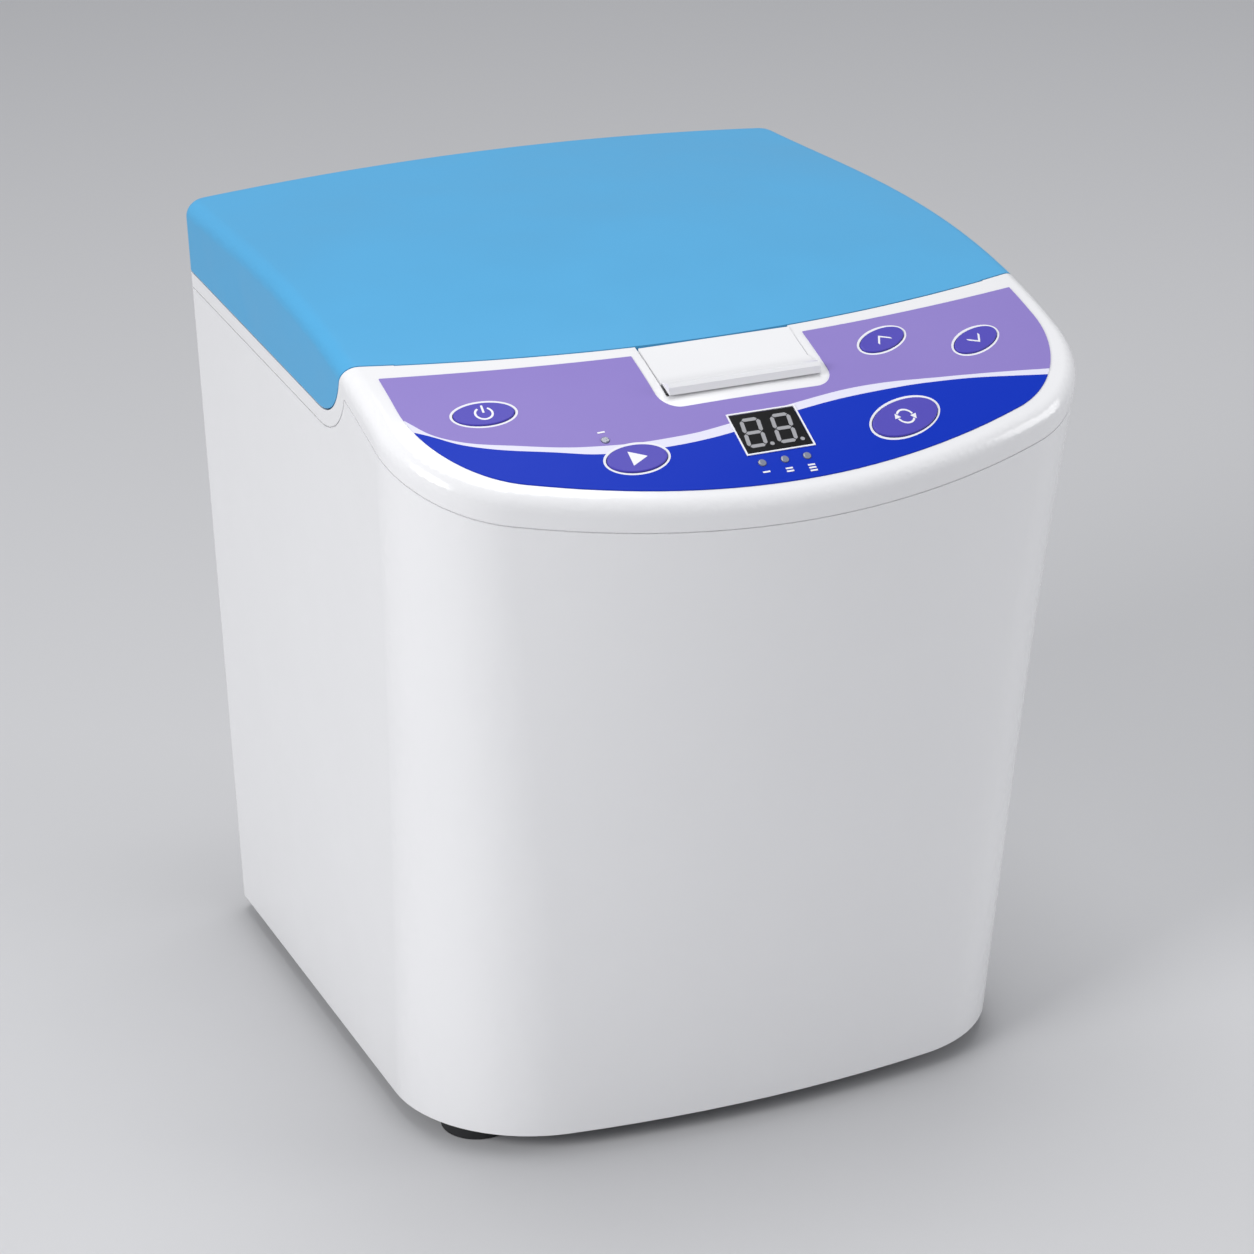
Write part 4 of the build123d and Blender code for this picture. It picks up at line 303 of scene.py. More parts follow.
class ShaderLibrary:
    """The shader groups that the finishes share."""

    BRUSH_STRETCH: Triple = (0.03, 1.0, 1.0)
    TOOL_STRETCH: Triple = (0.08, 0.08, 1.0)
    CLOUD_DETAIL: float = 4.0
    CLOUD_ROUGHNESS: float = 0.55
    MIDDLE: float = 0.5

    def __init__(self) -> None:
        """Build every group once."""
        self.grain = self._relief("fine_grain", 900.0, 3.0)
        self.clouds = self._clouds()
        self.lines = self._relief("brushed_lines", 700.0, 3.0, self.BRUSH_STRETCH)
        self.rings = self._relief("tool_marks", 900.0, 2.0, self.TOOL_STRETCH)
        self.ellipse = self._ellipse()

    @staticmethod
    def _relief(name: str, scale: float, detail: float, stretch: Triple | None = None) -> bpy.types.NodeTree:
        """Fine noise as a height from 0 to 1.

        Args:
            name: The group's name.
            scale: Grains per metre when nothing else is asked.
            detail: How many finer layers the noise has.
            stretch: Shares that draw the grains out along an axis, if any.

        Returns:
            A group with a Scale input and a Height output.
        """
        g = TreeBuilder(name)
        g.add_input("Scale", scale)
        g.add_output("Height")
        start, end = g.ends()
        place = g.node("ShaderNodeTexCoord").outputs["Object"]
        if stretch is not None:
            squeeze = g.node("ShaderNodeVectorMath", operation="MULTIPLY")
            squeeze.inputs[1].default_value = stretch
            g.link(place, squeeze.inputs[0])
            place = squeeze.outputs[0]
        noise = g.node("ShaderNodeTexNoise", noise_dimensions="3D")
        noise.inputs["Detail"].default_value = detail
        g.link(place, noise.inputs["Vector"])
        g.link(start.outputs["Scale"], noise.inputs["Scale"])
        g.link(noise.outputs["Fac"], end.inputs["Height"])
        return g.tree

    def _clouds(self) -> bpy.types.NodeTree:
        """Broad soft patches with a little fine dirt in them.

        Returns:
            A group with Scale and Contrast inputs and a Mask output from 0 to 1.
        """
        g = TreeBuilder("handling_clouds")
        g.add_input("Scale", 22.0)
        g.add_input("Contrast", 1.6)
        g.add_output("Mask")
        start, end = g.ends()
        coords = g.node("ShaderNodeTexCoord")
        broad = g.node("ShaderNodeTexNoise")
        broad.inputs["Detail"].default_value = self.CLOUD_DETAIL
        broad.inputs["Roughness"].default_value = self.CLOUD_ROUGHNESS
        centre = g.node("ShaderNodeMath", operation="SUBTRACT")
        centre.inputs[1].default_value = self.MIDDLE
        stretch = g.node("ShaderNodeMath", operation="MULTIPLY")
        back = g.node("ShaderNodeMath", operation="ADD", use_clamp=True)
        back.inputs[1].default_value = self.MIDDLE
        g.link(coords.outputs["Object"], broad.inputs["Vector"])
        g.link(start.outputs["Scale"], broad.inputs["Scale"])
        g.link(start.outputs["Contrast"], stretch.inputs[1])
        g.chain(broad, centre, stretch, back, end)
        return g.tree

    @staticmethod
    def _ellipse() -> bpy.types.NodeTree:
        """An oval field, seen from above.

        Returns:
            A group with the oval's place and size as inputs and a Mask output that is 1 inside it.
        """
        g = TreeBuilder("printed_oval")
        for name in ("Centre X", "Centre Y", "Turn"):
            g.add_input(name, 0.0)
        for name in ("Half Length", "Half Width"):
            g.add_input(name, 0.01)
        g.add_output("Mask")
        start, end = g.ends()
        coords = g.node("ShaderNodeTexCoord")
        centre = g.node("ShaderNodeCombineXYZ")
        shift = g.node("ShaderNodeVectorMath", operation="SUBTRACT")
        turn = g.node("ShaderNodeVectorRotate", rotation_type="Z_AXIS", invert=True)
        split = g.node("ShaderNodeSeparateXYZ")
        g.link(start.outputs["Centre X"], centre.inputs["X"])
        g.link(start.outputs["Centre Y"], centre.inputs["Y"])
        g.link(coords.outputs["Object"], shift.inputs[0])
        g.link(centre.outputs[0], shift.inputs[1])
        g.link(start.outputs["Turn"], turn.inputs["Angle"])
        g.chain(shift, turn, split)
        total = g.node("ShaderNodeMath", operation="ADD")
        for i, (axis, size) in enumerate((("X", "Half Length"), ("Y", "Half Width"))):
            share = g.node("ShaderNodeMath", operation="DIVIDE")
            square = g.node("ShaderNodeMath", operation="MULTIPLY")
            g.link(split.outputs[axis], share.inputs[0])
            g.link(start.outputs[size], share.inputs[1])
            g.link(share.outputs[0], square.inputs[0])
            g.link(share.outputs[0], square.inputs[1])
            g.link(square.outputs[0], total.inputs[i])
        inside = g.node("ShaderNodeMath", operation="LESS_THAN")
        inside.inputs[1].default_value = 1.0
        g.chain(total, inside, end)
        return g.tree

    def height_group(self, surface: Surface) -> bpy.types.NodeTree:
        """Choose a surface's relief.

        Args:
            surface: How the finish is made up.

        Returns:
            The group that gives its height.
        """
        if surface is Surface.BRUSHED:
            return self.lines
        if surface in (Surface.TURNED, Surface.WINDING):
            return self.rings
        return self.grain


@dataclass
class Shading(NodeWork):
    """One material's nodes, built round its Principled shader."""

    name: str
    material: bpy.types.Material = field(init=False)
    tree: bpy.types.NodeTree = field(init=False)
    shader: bpy.types.Node = field(init=False)

    def __post_init__(self) -> None:
        """Start with a bare Principled shader."""
        self.material = bpy.data.materials.new(self.name)
        self.material.use_nodes = True
        self.tree = self.material.node_tree
        self.shader = self.tree.nodes["Principled BSDF"]

    def set_values(self, values: dict[str, float]) -> None:
        """Set constants on the shader's own sockets."""
        for name, value in values.items():
            self.shader.inputs[name].default_value = value

    def group(self, tree: bpy.types.NodeTree, **values: float) -> bpy.types.Node:
        """Place a shader group.

        Args:
            tree: The group.
            **values: Its inputs, with an underscore for each blank.

        Returns:
            The group's node.
        """
        made = self.node("ShaderNodeGroup", node_tree=tree)
        for name, value in values.items():
            made.inputs[name.replace("_", " ")].default_value = value
        return made

    def over(
        self, mask: bpy.types.NodeSocket, under: bpy.types.NodeSocket | Color, color: Color,
    ) -> bpy.types.NodeSocket:
        """Lay a flat colour over what is painted so far.

        Args:
            mask: 1 where the colour covers what is under it.
            under: The paint so far, or a flat colour.
            color: The colour on top.

        Returns:
            The mixed colour.
        """
        made = self.node("ShaderNodeMix", data_type="RGBA")
        made.inputs["B"].default_value = (*color, 1.0)
        if isinstance(under, tuple):
            made.inputs["A"].default_value = (*under, 1.0)
        else:
            self.link(under, made.inputs["A"])
        self.link(mask, made.inputs["Factor"])
        return made.outputs["Result"]

    def emboss(self, tree: bpy.types.NodeTree, scale: float, strength: float, depth: float) -> None:
        """Give the shader a fine relief.

        Args:
            tree: The group that gives the height.
            scale: Grains per metre.
            strength: How much of the relief shows.
            depth: Its depth in metres.
        """
        height = self.group(tree, Scale=scale)
        bump = self.node("ShaderNodeBump")
        bump.inputs["Strength"].default_value = strength
        bump.inputs["Distance"].default_value = depth
        self.link(height.outputs["Height"], bump.inputs["Height"])
        self.link(bump.outputs["Normal"], self.shader.inputs["Normal"])


@dataclass
class Painter:
    """Makes materials from finishes and keeps them."""

    library: ShaderLibrary
    coat_roughness: float = 0.12
    relief_strength: float = 0.6
    cloud_scale: float = 26.0
    cloud_contrast: float = 1.8
    gloss_spread: float = 0.12
    made: dict[str, bpy.types.Material] = field(default_factory=dict)

    def material(self, finish: Finish) -> bpy.types.Material:
        """The material of a finish, built on first use.

        Args:
            finish: The finish to build.

        Returns:
            A material with relief, uneven gloss and a little tint.
        """
        if finish.name in self.made:
            return self.made[finish.name]
        work = Shading(finish.name)
        work.set_values({
            "Metallic": finish.metallic, "Coat Weight": finish.coat, "Coat Roughness": self.coat_roughness,
            "Specular IOR Level": finish.specular,
        })
        clouds = work.group(self.library.clouds, Scale=self.cloud_scale, Contrast=self.cloud_contrast)
        mask = clouds.outputs["Mask"]
        relief = self.library.height_group(finish.surface)
        work.emboss(relief, finish.grain, self.relief_strength, finish.depth)
        dark = tuple(channel * (1.0 - finish.tint) for channel in finish.color)
        work.link(work.over(mask, dark, finish.color), work.shader.inputs["Base Color"])
        self.uneven_gloss(work, mask, finish.roughness)
        self.made[finish.name] = work.material
        return work.material

    def uneven_gloss(self, work: Shading, mask: bpy.types.NodeSocket, roughness: float) -> None:
        """Let the roughness wander by a few hundredths.

        Args:
            work: The material in the making.
            mask: The clouds that it follows.
            roughness: Its mean.
        """
        spread = work.node("ShaderNodeMapRange")
        spread.inputs["To Min"].default_value = roughness * (1.0 - self.gloss_spread)
        spread.inputs["To Max"].default_value = roughness * (1.0 + self.gloss_spread)
        work.link(mask, spread.inputs["Value"])
        work.link(spread.outputs["Result"], work.shader.inputs["Roughness"])


@dataclass(frozen=True)
class PanelPrint:
    """Colours and edges of the printed control panel, in metres."""

    lilac: Color = (0.258, 0.197, 0.54)
    lilac_pale: Color = (0.295, 0.232, 0.575)
    band: Color = (0.76, 0.75, 0.88)
    royal: Color = (0.002, 0.031, 0.475)
    ring: Color = (0.84, 0.84, 0.88)
    ring_width: float = 0.00122
    roughness: float = 0.4
    specular: float = 0.1
    cloud_scale: float = 9.0
    cloud_contrast: float = 1.4
    grain: float = 2600.0
    grain_strength: float = 0.5
    grain_depth: float = 6 * MICRON
    half: float = 0.140
    depth_y: float = 0.160
    upper_edge: tuple[Point, ...] = (
        (-0.1265, -0.0960), (-0.1167, -0.1068), (-0.0938, -0.1162), (-0.0683, -0.1229),
        (-0.0361, -0.1253), (-0.0169, -0.1238), (0.0146, -0.1188), (0.0404, -0.1157),
        (0.0775, -0.1157), (0.1140, -0.1160), (0.1300, -0.1162),
    )
    lower_edge: tuple[Point, ...] = (
        (-0.1290, -0.0985), (-0.1242, -0.1019), (-0.1108, -0.1117), (-0.0812, -0.1225),
        (-0.0659, -0.1268), (-0.0408, -0.1288), (-0.0163, -0.1275), (0.0141, -0.1222),
        (0.0386, -0.1193), (0.0767, -0.1174), (0.1130, -0.1186), (0.1300, -0.1192),
    )

    def build(self, library: ShaderLibrary) -> bpy.types.Material:
        """Paint the lilac field, the pale band, the royal blue field and the white key rings.

        Args:
            library: The shader groups.

        Returns:
            The overlay's material.
        """
        work = Shading("printed_overlay")
        work.set_values({"Roughness": self.roughness, "Specular IOR Level": self.specular})
        coords = work.node("ShaderNodeTexCoord")
        split = work.node("ShaderNodeSeparateXYZ")
        work.link(coords.outputs["Object"], split.inputs[0])
        across = work.node("ShaderNodeMapRange")
        across.inputs["From Min"].default_value = -self.half
        across.inputs["From Max"].default_value = self.half
        work.link(split.outputs["X"], across.inputs["Value"])
        depth = work.node("ShaderNodeMath", operation="DIVIDE")
        depth.inputs[1].default_value = -self.depth_y
        work.link(split.outputs["Y"], depth.inputs[0])
        clouds = work.group(library.clouds, Scale=self.cloud_scale, Contrast=self.cloud_contrast)
        paint = work.over(clouds.outputs["Mask"], self.lilac, self.lilac_pale)
        for edge, color in ((self.upper_edge, self.band), (self.lower_edge, self.royal)):
            paint = work.over(self.beyond(work, across, depth, edge), paint, color)
        for key in KEYS:
            paint = work.over(self.key_ring(work, library, key), paint, self.ring)
        work.link(paint, work.shader.inputs["Base Color"])
        work.emboss(library.grain, self.grain, self.grain_strength, self.grain_depth)
        return work.material

    def key_ring(self, work: Shading, library: ShaderLibrary, key: KeyPlace) -> bpy.types.NodeSocket:
        """The white oval under a key, foreshortened by the panel's slope.

        Args:
            work: The material in the making.
            library: The shader groups.
            key: The key that it goes round.

        Returns:
            A mask that is 1 inside the oval.
        """
        oval = work.group(
            library.ellipse, Centre_X=key.x, Centre_Y=key.y, Turn=math.radians(key.turn),
            Half_Length=key.half_length + self.ring_width,
            Half_Width=(key.half_width + self.ring_width) * TOP.normal(key.x, key.y).z)
        return oval.outputs["Mask"]

    def beyond(
        self, work: Shading, across: bpy.types.Node, depth: bpy.types.Node, edge: Sequence[Point],
    ) -> bpy.types.NodeSocket:
        """A mask of what lies nearer the front than an edge.

        Args:
            work: The material in the making.
            across: The place across the panel, from 0 to 1.
            depth: The place towards the front, from 0 to 1.
            edge: The edge's points from left to right.

        Returns:
            A mask that is 1 in front of the edge.
        """
        curve = work.node("ShaderNodeFloatCurve")
        curve.mapping.use_clip = False
        points = [((x + self.half) / (2 * self.half), -y / self.depth_y) for x, y in edge]
        track = curve.mapping.curves[0]
        first, last = track.points[0], track.points[1]
        first.location = points[0]
        last.location = points[-1]
        for point in points[1:-1]:
            track.points.new(*point)
        curve.mapping.update()
        work.link(across.outputs["Result"], curve.inputs["Value"])
        past = work.node("ShaderNodeMath", operation="GREATER_THAN")
        work.link(depth.outputs[0], past.inputs[0])
        work.link(curve.outputs["Value"], past.inputs[1])
        return past.outputs[0]


# ---------- mesh helpers
def add_object(name: str, mesh: bpy.types.Mesh, material: bpy.types.Material) -> bpy.types.Object:
    """Put a mesh into the scene.

    Args:
        name: The object's name.
        mesh: Its mesh, with every place already in it.
        material: Its one material.

    Returns:
        The new object, at the origin.
    """
    made = bpy.data.objects.new(name, mesh)
    bpy.context.scene.collection.objects.link(made)
    mesh.materials.clear()
    mesh.materials.append(material)
    return made


@dataclass(frozen=True)
class Edge:
    """How far a piece's edges are rounded in metres, and in how many steps."""

    width: float = 0.0
    steps: int = 2


SHARP = Edge()
Plan = dict[str, tuple[Finish, Edge]]


@dataclass
class Dresser:
    """Gives CAD nodes their finish, smooth shading and slightly rounded edges."""

    nodes: dict[str, bpy.types.Object]
    painter: Painter
    smooth_below: float = 28.0
    round_above: float = 40.0
    merge_within: float = 2 * MICRON
    tree: bpy.types.NodeTree = field(init=False)

    def __post_init__(self) -> None:
        """Build the shading tree once."""
        self.tree = self.smooth_tree()

    def smooth_tree(self) -> bpy.types.NodeTree:
        """Geometry nodes that shade smooth, except over sharp edges.

        Returns:
            A tree whose Angle input says which edges are sharp.
        """
        g = TreeBuilder("smooth_by_edge", "GeometryNodeTree")
        g.add_input("Geometry", kind="Geometry")
        g.add_input("Angle", math.radians(self.smooth_below))
        g.add_output("Geometry", kind="Geometry")
        start, end = g.ends()
        edge = g.node("GeometryNodeInputMeshEdgeAngle")
        gentle = g.node("FunctionNodeCompare", data_type="FLOAT", operation="LESS_THAN")
        faces = g.node("GeometryNodeSetShadeSmooth", domain="FACE")
        edges = g.node("GeometryNodeSetShadeSmooth", domain="EDGE")
        g.chain(start, faces, edges, end)
        g.link(edge.outputs["Unsigned Angle"], gentle.inputs[0])
        g.link(start.outputs["Angle"], gentle.inputs[1])
        g.link(gentle.outputs["Result"], edges.inputs["Shade Smooth"])
        return g.tree

    def finish_all(self, plan: Plan) -> None:
        """Dress every node of a plan, in its order."""
        for name, (finish, edge) in plan.items():
            self.cover(self.nodes[name], self.painter.material(finish), edge)

    def cover(self, node: bpy.types.Object, material: bpy.types.Material, edge: Edge) -> None:
        """Put one material into every slot of a node and dress its edges.

        Args:
            node: The CAD node's object.
            material: The material that it gets.
            edge: How its edges are rounded.
        """
        if not node.material_slots:
            node.data.materials.append(material)
        for slot in node.material_slots:
            slot.material = material
        self.add_edges(node, edge)
        LOG.info("dressed %s in %s", node.name, material.name)

    def add_edges(self, node: bpy.types.Object, edge: Edge) -> None:
        """Merge the loose triangles, round the sharp edges and shade the rest smooth.

        Args:
            node: The CAD node's object.
            edge: How its edges are rounded.
        """
        weld = node.modifiers.new("merge", "WELD")
        weld.merge_threshold = self.merge_within
        if edge.width > 0.0:
            bevel = node.modifiers.new("round", "BEVEL")
            bevel.width = edge.width
            bevel.segments = edge.steps
            bevel.limit_method = "ANGLE"
            bevel.angle_limit = math.radians(self.round_above)
            bevel.use_clamp_overlap = True
            bevel.miter_outer = "MITER_ARC"
        shade = node.modifiers.new("smooth", "NODES")
        shade.node_group = self.tree
        even = node.modifiers.new("even", "WEIGHTED_NORMAL")
        even.keep_sharp = True


# ---------- printed marks
class Mark(Enum):
    """The plain signs printed on the keys, each named as its key."""

    POWER = "power"
    START = "start"
    UP = "up"
    DOWN = "down"
    SELECT = "select"


@dataclass
class MarkMaker:
    """Draws flat signs as ribbons, in shares of their size, and lays them on the panel or on a key."""

    thickness: float = 60 * MICRON
    size: float = 0.0034
    stroke: float = 0.0008

    def arc(self, radius: float, start: float, end: float, steps: int = 24) -> Ribbon:
        """A bent bar.

        Args:
            radius: Radius of its middle line.
            start: Angle where it starts, in degrees.
            end: Angle where it ends, in degrees.
            steps: How many straight steps it has.

        Returns:
            The bar as a ribbon.
        """
        outer, inner = radius + self.stroke / 2, radius - self.stroke / 2
        angles = [math.radians(start + (end - start) * i / steps) for i in range(steps + 1)]
        return [
            ((outer * math.cos(a), outer * math.sin(a)), (inner * math.cos(a), inner * math.sin(a)))
            for a in angles
        ]

    def power_sign(self) -> list[Ribbon]:
        """A ring that is open at the top, with an upright bar in the gap.

        Returns:
            The ring and the bar.
        """
        s, w = self.size, self.stroke
        low, high = 0.1 * s, 1.25 * s
        bar: Ribbon = [((-w / 2, low), (w / 2, low)), ((-w / 2, high), (w / 2, high))]
        return [self.arc(0.92 * s, start=125.0, end=415.0, steps=36), bar]

    def start_sign(self) -> list[Ribbon]:
        """A triangle that points right."""
        s = self.size
        return [[((-0.75 * s, s), (-0.75 * s, -s)), ((1.1 * s, 0.03 * s), (1.1 * s, -0.03 * s))]]

    def chevron(self, up: bool) -> list[Ribbon]:
        """An arrow head without a stem.

        Args:
            up: Whether it points up the panel.

        Returns:
            Its one bent ribbon.
        """
        s, w, sign = self.size, self.stroke * 1.25, 1.0 if up else -1.0
        spine = [(-s, -0.3 * s), (0.0, 0.62 * s), (s, -0.3 * s)]
        return [[((x, sign * y), (x, sign * (y - w))) for x, y in spine]]

    def turning_sign(self) -> list[Ribbon]:
        """Two bent arrows that follow one another.

        Returns:
            Two arcs and their heads.
        """
        s = self.size
        base, tip = -0.1 * s, -0.75 * s
        head: Ribbon = [((1.35 * s, base), (0.55 * s, base)), ((0.97 * s, tip), (0.93 * s, tip))]
        tail: Ribbon = [((-ax, -ay), (-bx, -by)) for (ax, ay), (bx, by) in head]
        radius = 0.95 * s
        arcs = [self.arc(radius, start=0.0, end=140.0), self.arc(radius, start=180.0, end=320.0)]
        return [*arcs, head, tail]

    def shapes(self, mark: Mark) -> list[Ribbon]:
        """Draw a sign.

        Args:
            mark: Which sign.

        Returns:
            The ribbons that make it up.
        """
        if mark is Mark.POWER:
            return self.power_sign()
        if mark is Mark.START:
            return self.start_sign()
        if mark is Mark.SELECT:
            return self.turning_sign()
        return self.chevron(mark is Mark.UP)

    def lay(
        self, name: str, ribbons: Iterable[Ribbon], place: Matrix, material: bpy.types.Material,
    ) -> bpy.types.Object:
        """Give ribbons a thickness and place them.

        Args:
            name: The piece's name.
            ribbons: Flat ribbons in metres.
            place: Matrix that lays them down.
            material: The print's material.

        Returns:
            One object with every ribbon in place.
        """
        work = bmesh.new()
        for ribbon in ribbons:
            self.add_band(work, ribbon, place)
        bmesh.ops.recalc_face_normals(work, faces=work.faces)
        mesh = bpy.data.meshes.new(name)
        work.to_mesh(mesh)
        work.free()
        return add_object(name, mesh, material)

    def add_band(self, work: bmesh.types.BMesh, ribbon: Ribbon, place: Matrix) -> None:
        """Add one closed thin band.

        Args:
            work: The mesh in the making.
            ribbon: The band's two sides.
            place: Matrix that lays it down.
        """
        rungs = []
        for left, right in ribbon:
            spots = [(*left, 0.0), (*right, 0.0), (*right, self.thickness), (*left, self.thickness)]
            rungs.append([work.verts.new(place @ Vector(spot)) for spot in spots])
        for one, two in zip(rungs, rungs[1:]):
            for i in range(4):
                j = (i + 1) % 4
                work.faces.new((one[i], one[j], two[j], two[i]))
        work.faces.new(rungs[0])
        work.faces.new(list(reversed(rungs[-1])))


@dataclass
class BarRow:
    """A row of equal printed bars, repeated by geometry nodes."""

    length: float = 0.0028
    width: float = 0.0007
    pitch: float = 0.0013
    thickness: float = 60 * MICRON
    tree: bpy.types.NodeTree | None = None
    sockets: dict[str, str] = field(default_factory=dict)

    def sizes(self) -> dict[str, float]:
        """The row's sizes under the names of the tree's inputs."""
        return {"Length": self.length, "Width": self.width, "Pitch": self.pitch, "Height": self.thickness}

    def grow(self) -> bpy.types.NodeTree:
        """Build the tree that sets bars one below the other.

        Returns:
            A tree with inputs for the sizes, the count and the finish.
        """
        g = TreeBuilder("printed_bar_row", "GeometryNodeTree")
        for name, value in self.sizes().items():
            self.sockets[name] = g.add_input(name, value)
        for name, kind in (("Count", "Int"), ("Finish", "Material")):
            self.sockets[name] = g.add_input(name, kind=kind)
        g.add_output("Geometry", kind="Geometry")
        start, end = g.ends()
        size, step = g.node("ShaderNodeCombineXYZ"), g.node("ShaderNodeCombineXYZ")
        down = g.node("ShaderNodeMath", operation="MULTIPLY")
        down.inputs[1].default_value = -1.0
        bar, line = g.node("GeometryNodeMeshCube"), g.node("GeometryNodeMeshLine")
        spread, real = g.node("GeometryNodeInstanceOnPoints"), g.node("GeometryNodeRealizeInstances")
        coat = g.node("GeometryNodeSetMaterial")
        for name, axis in (("Length", "X"), ("Width", "Y"), ("Height", "Z")):
            g.link(start.outputs[name], size.inputs[axis])
        g.link(start.outputs["Pitch"], down.inputs[0])
        g.link(down.outputs[0], step.inputs["Y"])
        g.link(size.outputs[0], bar.inputs["Size"])
        g.link(start.outputs["Count"], line.inputs["Count"])
        g.link(step.outputs[0], line.inputs["Offset"])
        g.link(line.outputs["Mesh"], spread.inputs["Points"])
        g.link(bar.outputs["Mesh"], spread.inputs["Instance"])
        g.link(start.outputs["Finish"], coat.inputs["Material"])
        g.chain(spread, real, coat, end)
        return g.tree

    def build(self, name: str, count: int, place: Matrix, material: bpy.types.Material) -> bpy.types.Object:
        """Make one row and lay it down.

        Args:
            name: The piece's name.
            count: How many bars it has.
            place: Matrix that lays the row's first bar on the panel.
            material: The print's material.

        Returns:
            A plain mesh object.
        """
        self.tree = self.tree or self.grow()
        holder = add_object(f"{name}_maker", bpy.data.meshes.new(f"{name}_maker"), material)
        grower = holder.modifiers.new("row", "NODES")
        grower.node_group = self.tree
        grower[self.sockets["Count"]] = count
        grower[self.sockets["Finish"]] = material
        for key, value in self.sizes().items():
            grower[self.sockets[key]] = value
        bpy.context.view_layer.update()
        made = bpy.data.meshes.new_from_object(holder.evaluated_get(bpy.context.evaluated_depsgraph_get()))
        bpy.data.objects.remove(holder)
        made.transform(place)
        made.name = name
        return add_object(name, made, material)


# ---------- sub-assemblies
@dataclass
class SubAssembly:
    """A group of CAD nodes that are dressed together."""

    def plan(self) -> Plan:
        """The finish and the edges of each node."""
        return {}

    def dress(self, dresser: Dresser) -> None:
        """Finish every node of the plan."""
        dresser.finish_all(self.plan())


@dataclass
class ControlPanel(SubAssembly):
    """The printed overlay, its keys, display and lamps."""

    overlay_rise: float = 0.00043
    key_rise: float = 0.0009
    print_gap: float = 10 * MICRON
    display_x: float = -0.0022
    display_y: float = -0.129
    display_half_width: float = 0.0127
    display_half_depth: float = 0.0093
    bezel: float = 0.0006
    bezel_gap: float = 0.0003
    bezel_height: float = 0.0003
    bezel_sink: float = 0.0002
    lamp_y: float = -0.1414
    lamp_xs: tuple[float, ...] = (-0.0115, -0.0026, 0.0062)
    power_lamp: Point = (-0.0633, -0.1211)
    bar_reach: float = 0.0036
    display_edge: Edge = Edge(0.0002)
    lens_edge: Edge = Edge(0.00015)

    def plan(self) -> Plan:
        """Choose the panel's finishes and edges.

        Returns:
            The finish and the edges of each node, apart from the overlay.
        """
        keys: Plan = {f"{key.name}_key": (KEY_VIOLET, SHARP) for key in KEYS}
        return keys | {
            "display_module": (DISPLAY, self.display_edge), "display_segments": (SEGMENT, SHARP),
            "indicator_lamps": (LAMP, self.lens_edge), "control_board": (BOARD, SHARP),
            "key_switches": (BLACK, self.display_edge),
        }

    def dress(self, dresser: Dresser) -> None:
        """Print the overlay and finish the panel's other nodes.

        Args:
            dresser: Holds the nodes and the painter.
        """
        overlay = PanelPrint().build(dresser.painter.library)
        dresser.cover(dresser.nodes["control_overlay"], overlay, SHARP)
        super().dress(dresser)

    def print_marks(self, painter: Painter) -> None:
        """Lay the signs on the keys, the bars by the lamps and the display's frame.

        Args:
            painter: Makes the print's material.
        """
        maker = MarkMaker()
        white = painter.material(PRINT_WHITE)
        for key in KEYS:
            mark = Mark(key.name)
            place = TOP.frame(key.x, key.y, key.turn, self.key_rise + self.print_gap)
            sign = maker.lay(f"{mark.value}_sign", maker.shapes(mark), place, white)
            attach(sign, key.name)
            LOG.info("placed %s", sign.name)
        self.lamp_marks(maker.thickness, white)
        self.display_frame(white)

    def lamp_marks(self, thickness: float, white: bpy.types.Material) -> None:
        """Rows of small bars in front of the mode lamps and one behind the power lamp.

        Args:
            thickness: The print's thickness.
            white: The print's material.
        """
        rows = BarRow(thickness=thickness)
        for count, x in enumerate(self.lamp_xs, start=1):
            place = TOP.frame(x, self.lamp_y - self.bar_reach, 0.0, self.overlay_rise)
            self.keep_print(rows.build(f"mode_bars_{count}", count, place, white))
        x, y = self.power_lamp
        place = TOP.frame(x, y + self.bar_reach, 0.0, self.overlay_rise)
        self.keep_print(rows.build("power_bar", 1, place, white))

    def display_frame(self, white: bpy.types.Material) -> None:
        """Thin raised frame round the display window.

        Args:
            white: The frame's material.
        """
        maker = MarkMaker(thickness=self.bezel_height)
        a, b = self.display_half_width + self.bezel_gap, self.display_half_depth + self.bezel_gap
        t = self.bezel
        inner = [(-a, -b), (a, -b), (a, b), (-a, b)]
        outer = [(-a - t, -b - t), (a + t, -b - t), (a + t, b + t), (-a - t, b + t)]
        corners = list(zip(outer, inner))
        sides: list[Ribbon] = [[corners[i], corners[(i + 1) % 4]] for i in range(4)]
        place = TOP.frame(self.display_x, self.display_y, 0.0, self.overlay_rise - self.bezel_sink)
        self.keep_print(maker.lay("display_frame", sides, place, white))

    @staticmethod
    def keep_print(piece: bpy.types.Object) -> None:
        """Tie a printed piece to the fixed body.

        Args:
            piece: The printed piece.
        """
        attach(piece, "base")
        LOG.info("placed %s", piece.name)


@dataclass
class Housing(SubAssembly):
    """The white lower housing, the frame above it and what closes the bottom."""

    wall_edge: Edge = Edge(0.0004)
    rim_edge: Edge = Edge(0.0003)
    sheet_edge: Edge = Edge(0.0002)
    screw_edge: Edge = Edge(0.0001)

    def plan(self) -> Plan:
        """Choose finishes and edges.

        Returns:
            The finish and the edges of each node.
        """
        return {
            "lower_housing": (WHITE, self.wall_edge), "upper_frame": (WHITE, self.rim_edge),
            "base_plate": (SHEET, self.sheet_edge), "rubber_feet": (BLACK_RUBBER, SHARP),
            "foot_screws": (ZINC, self.screw_edge), "plate_screws": (ZINC, self.screw_edge),
            "frame_screws": (ZINC, self.screw_edge),
        }


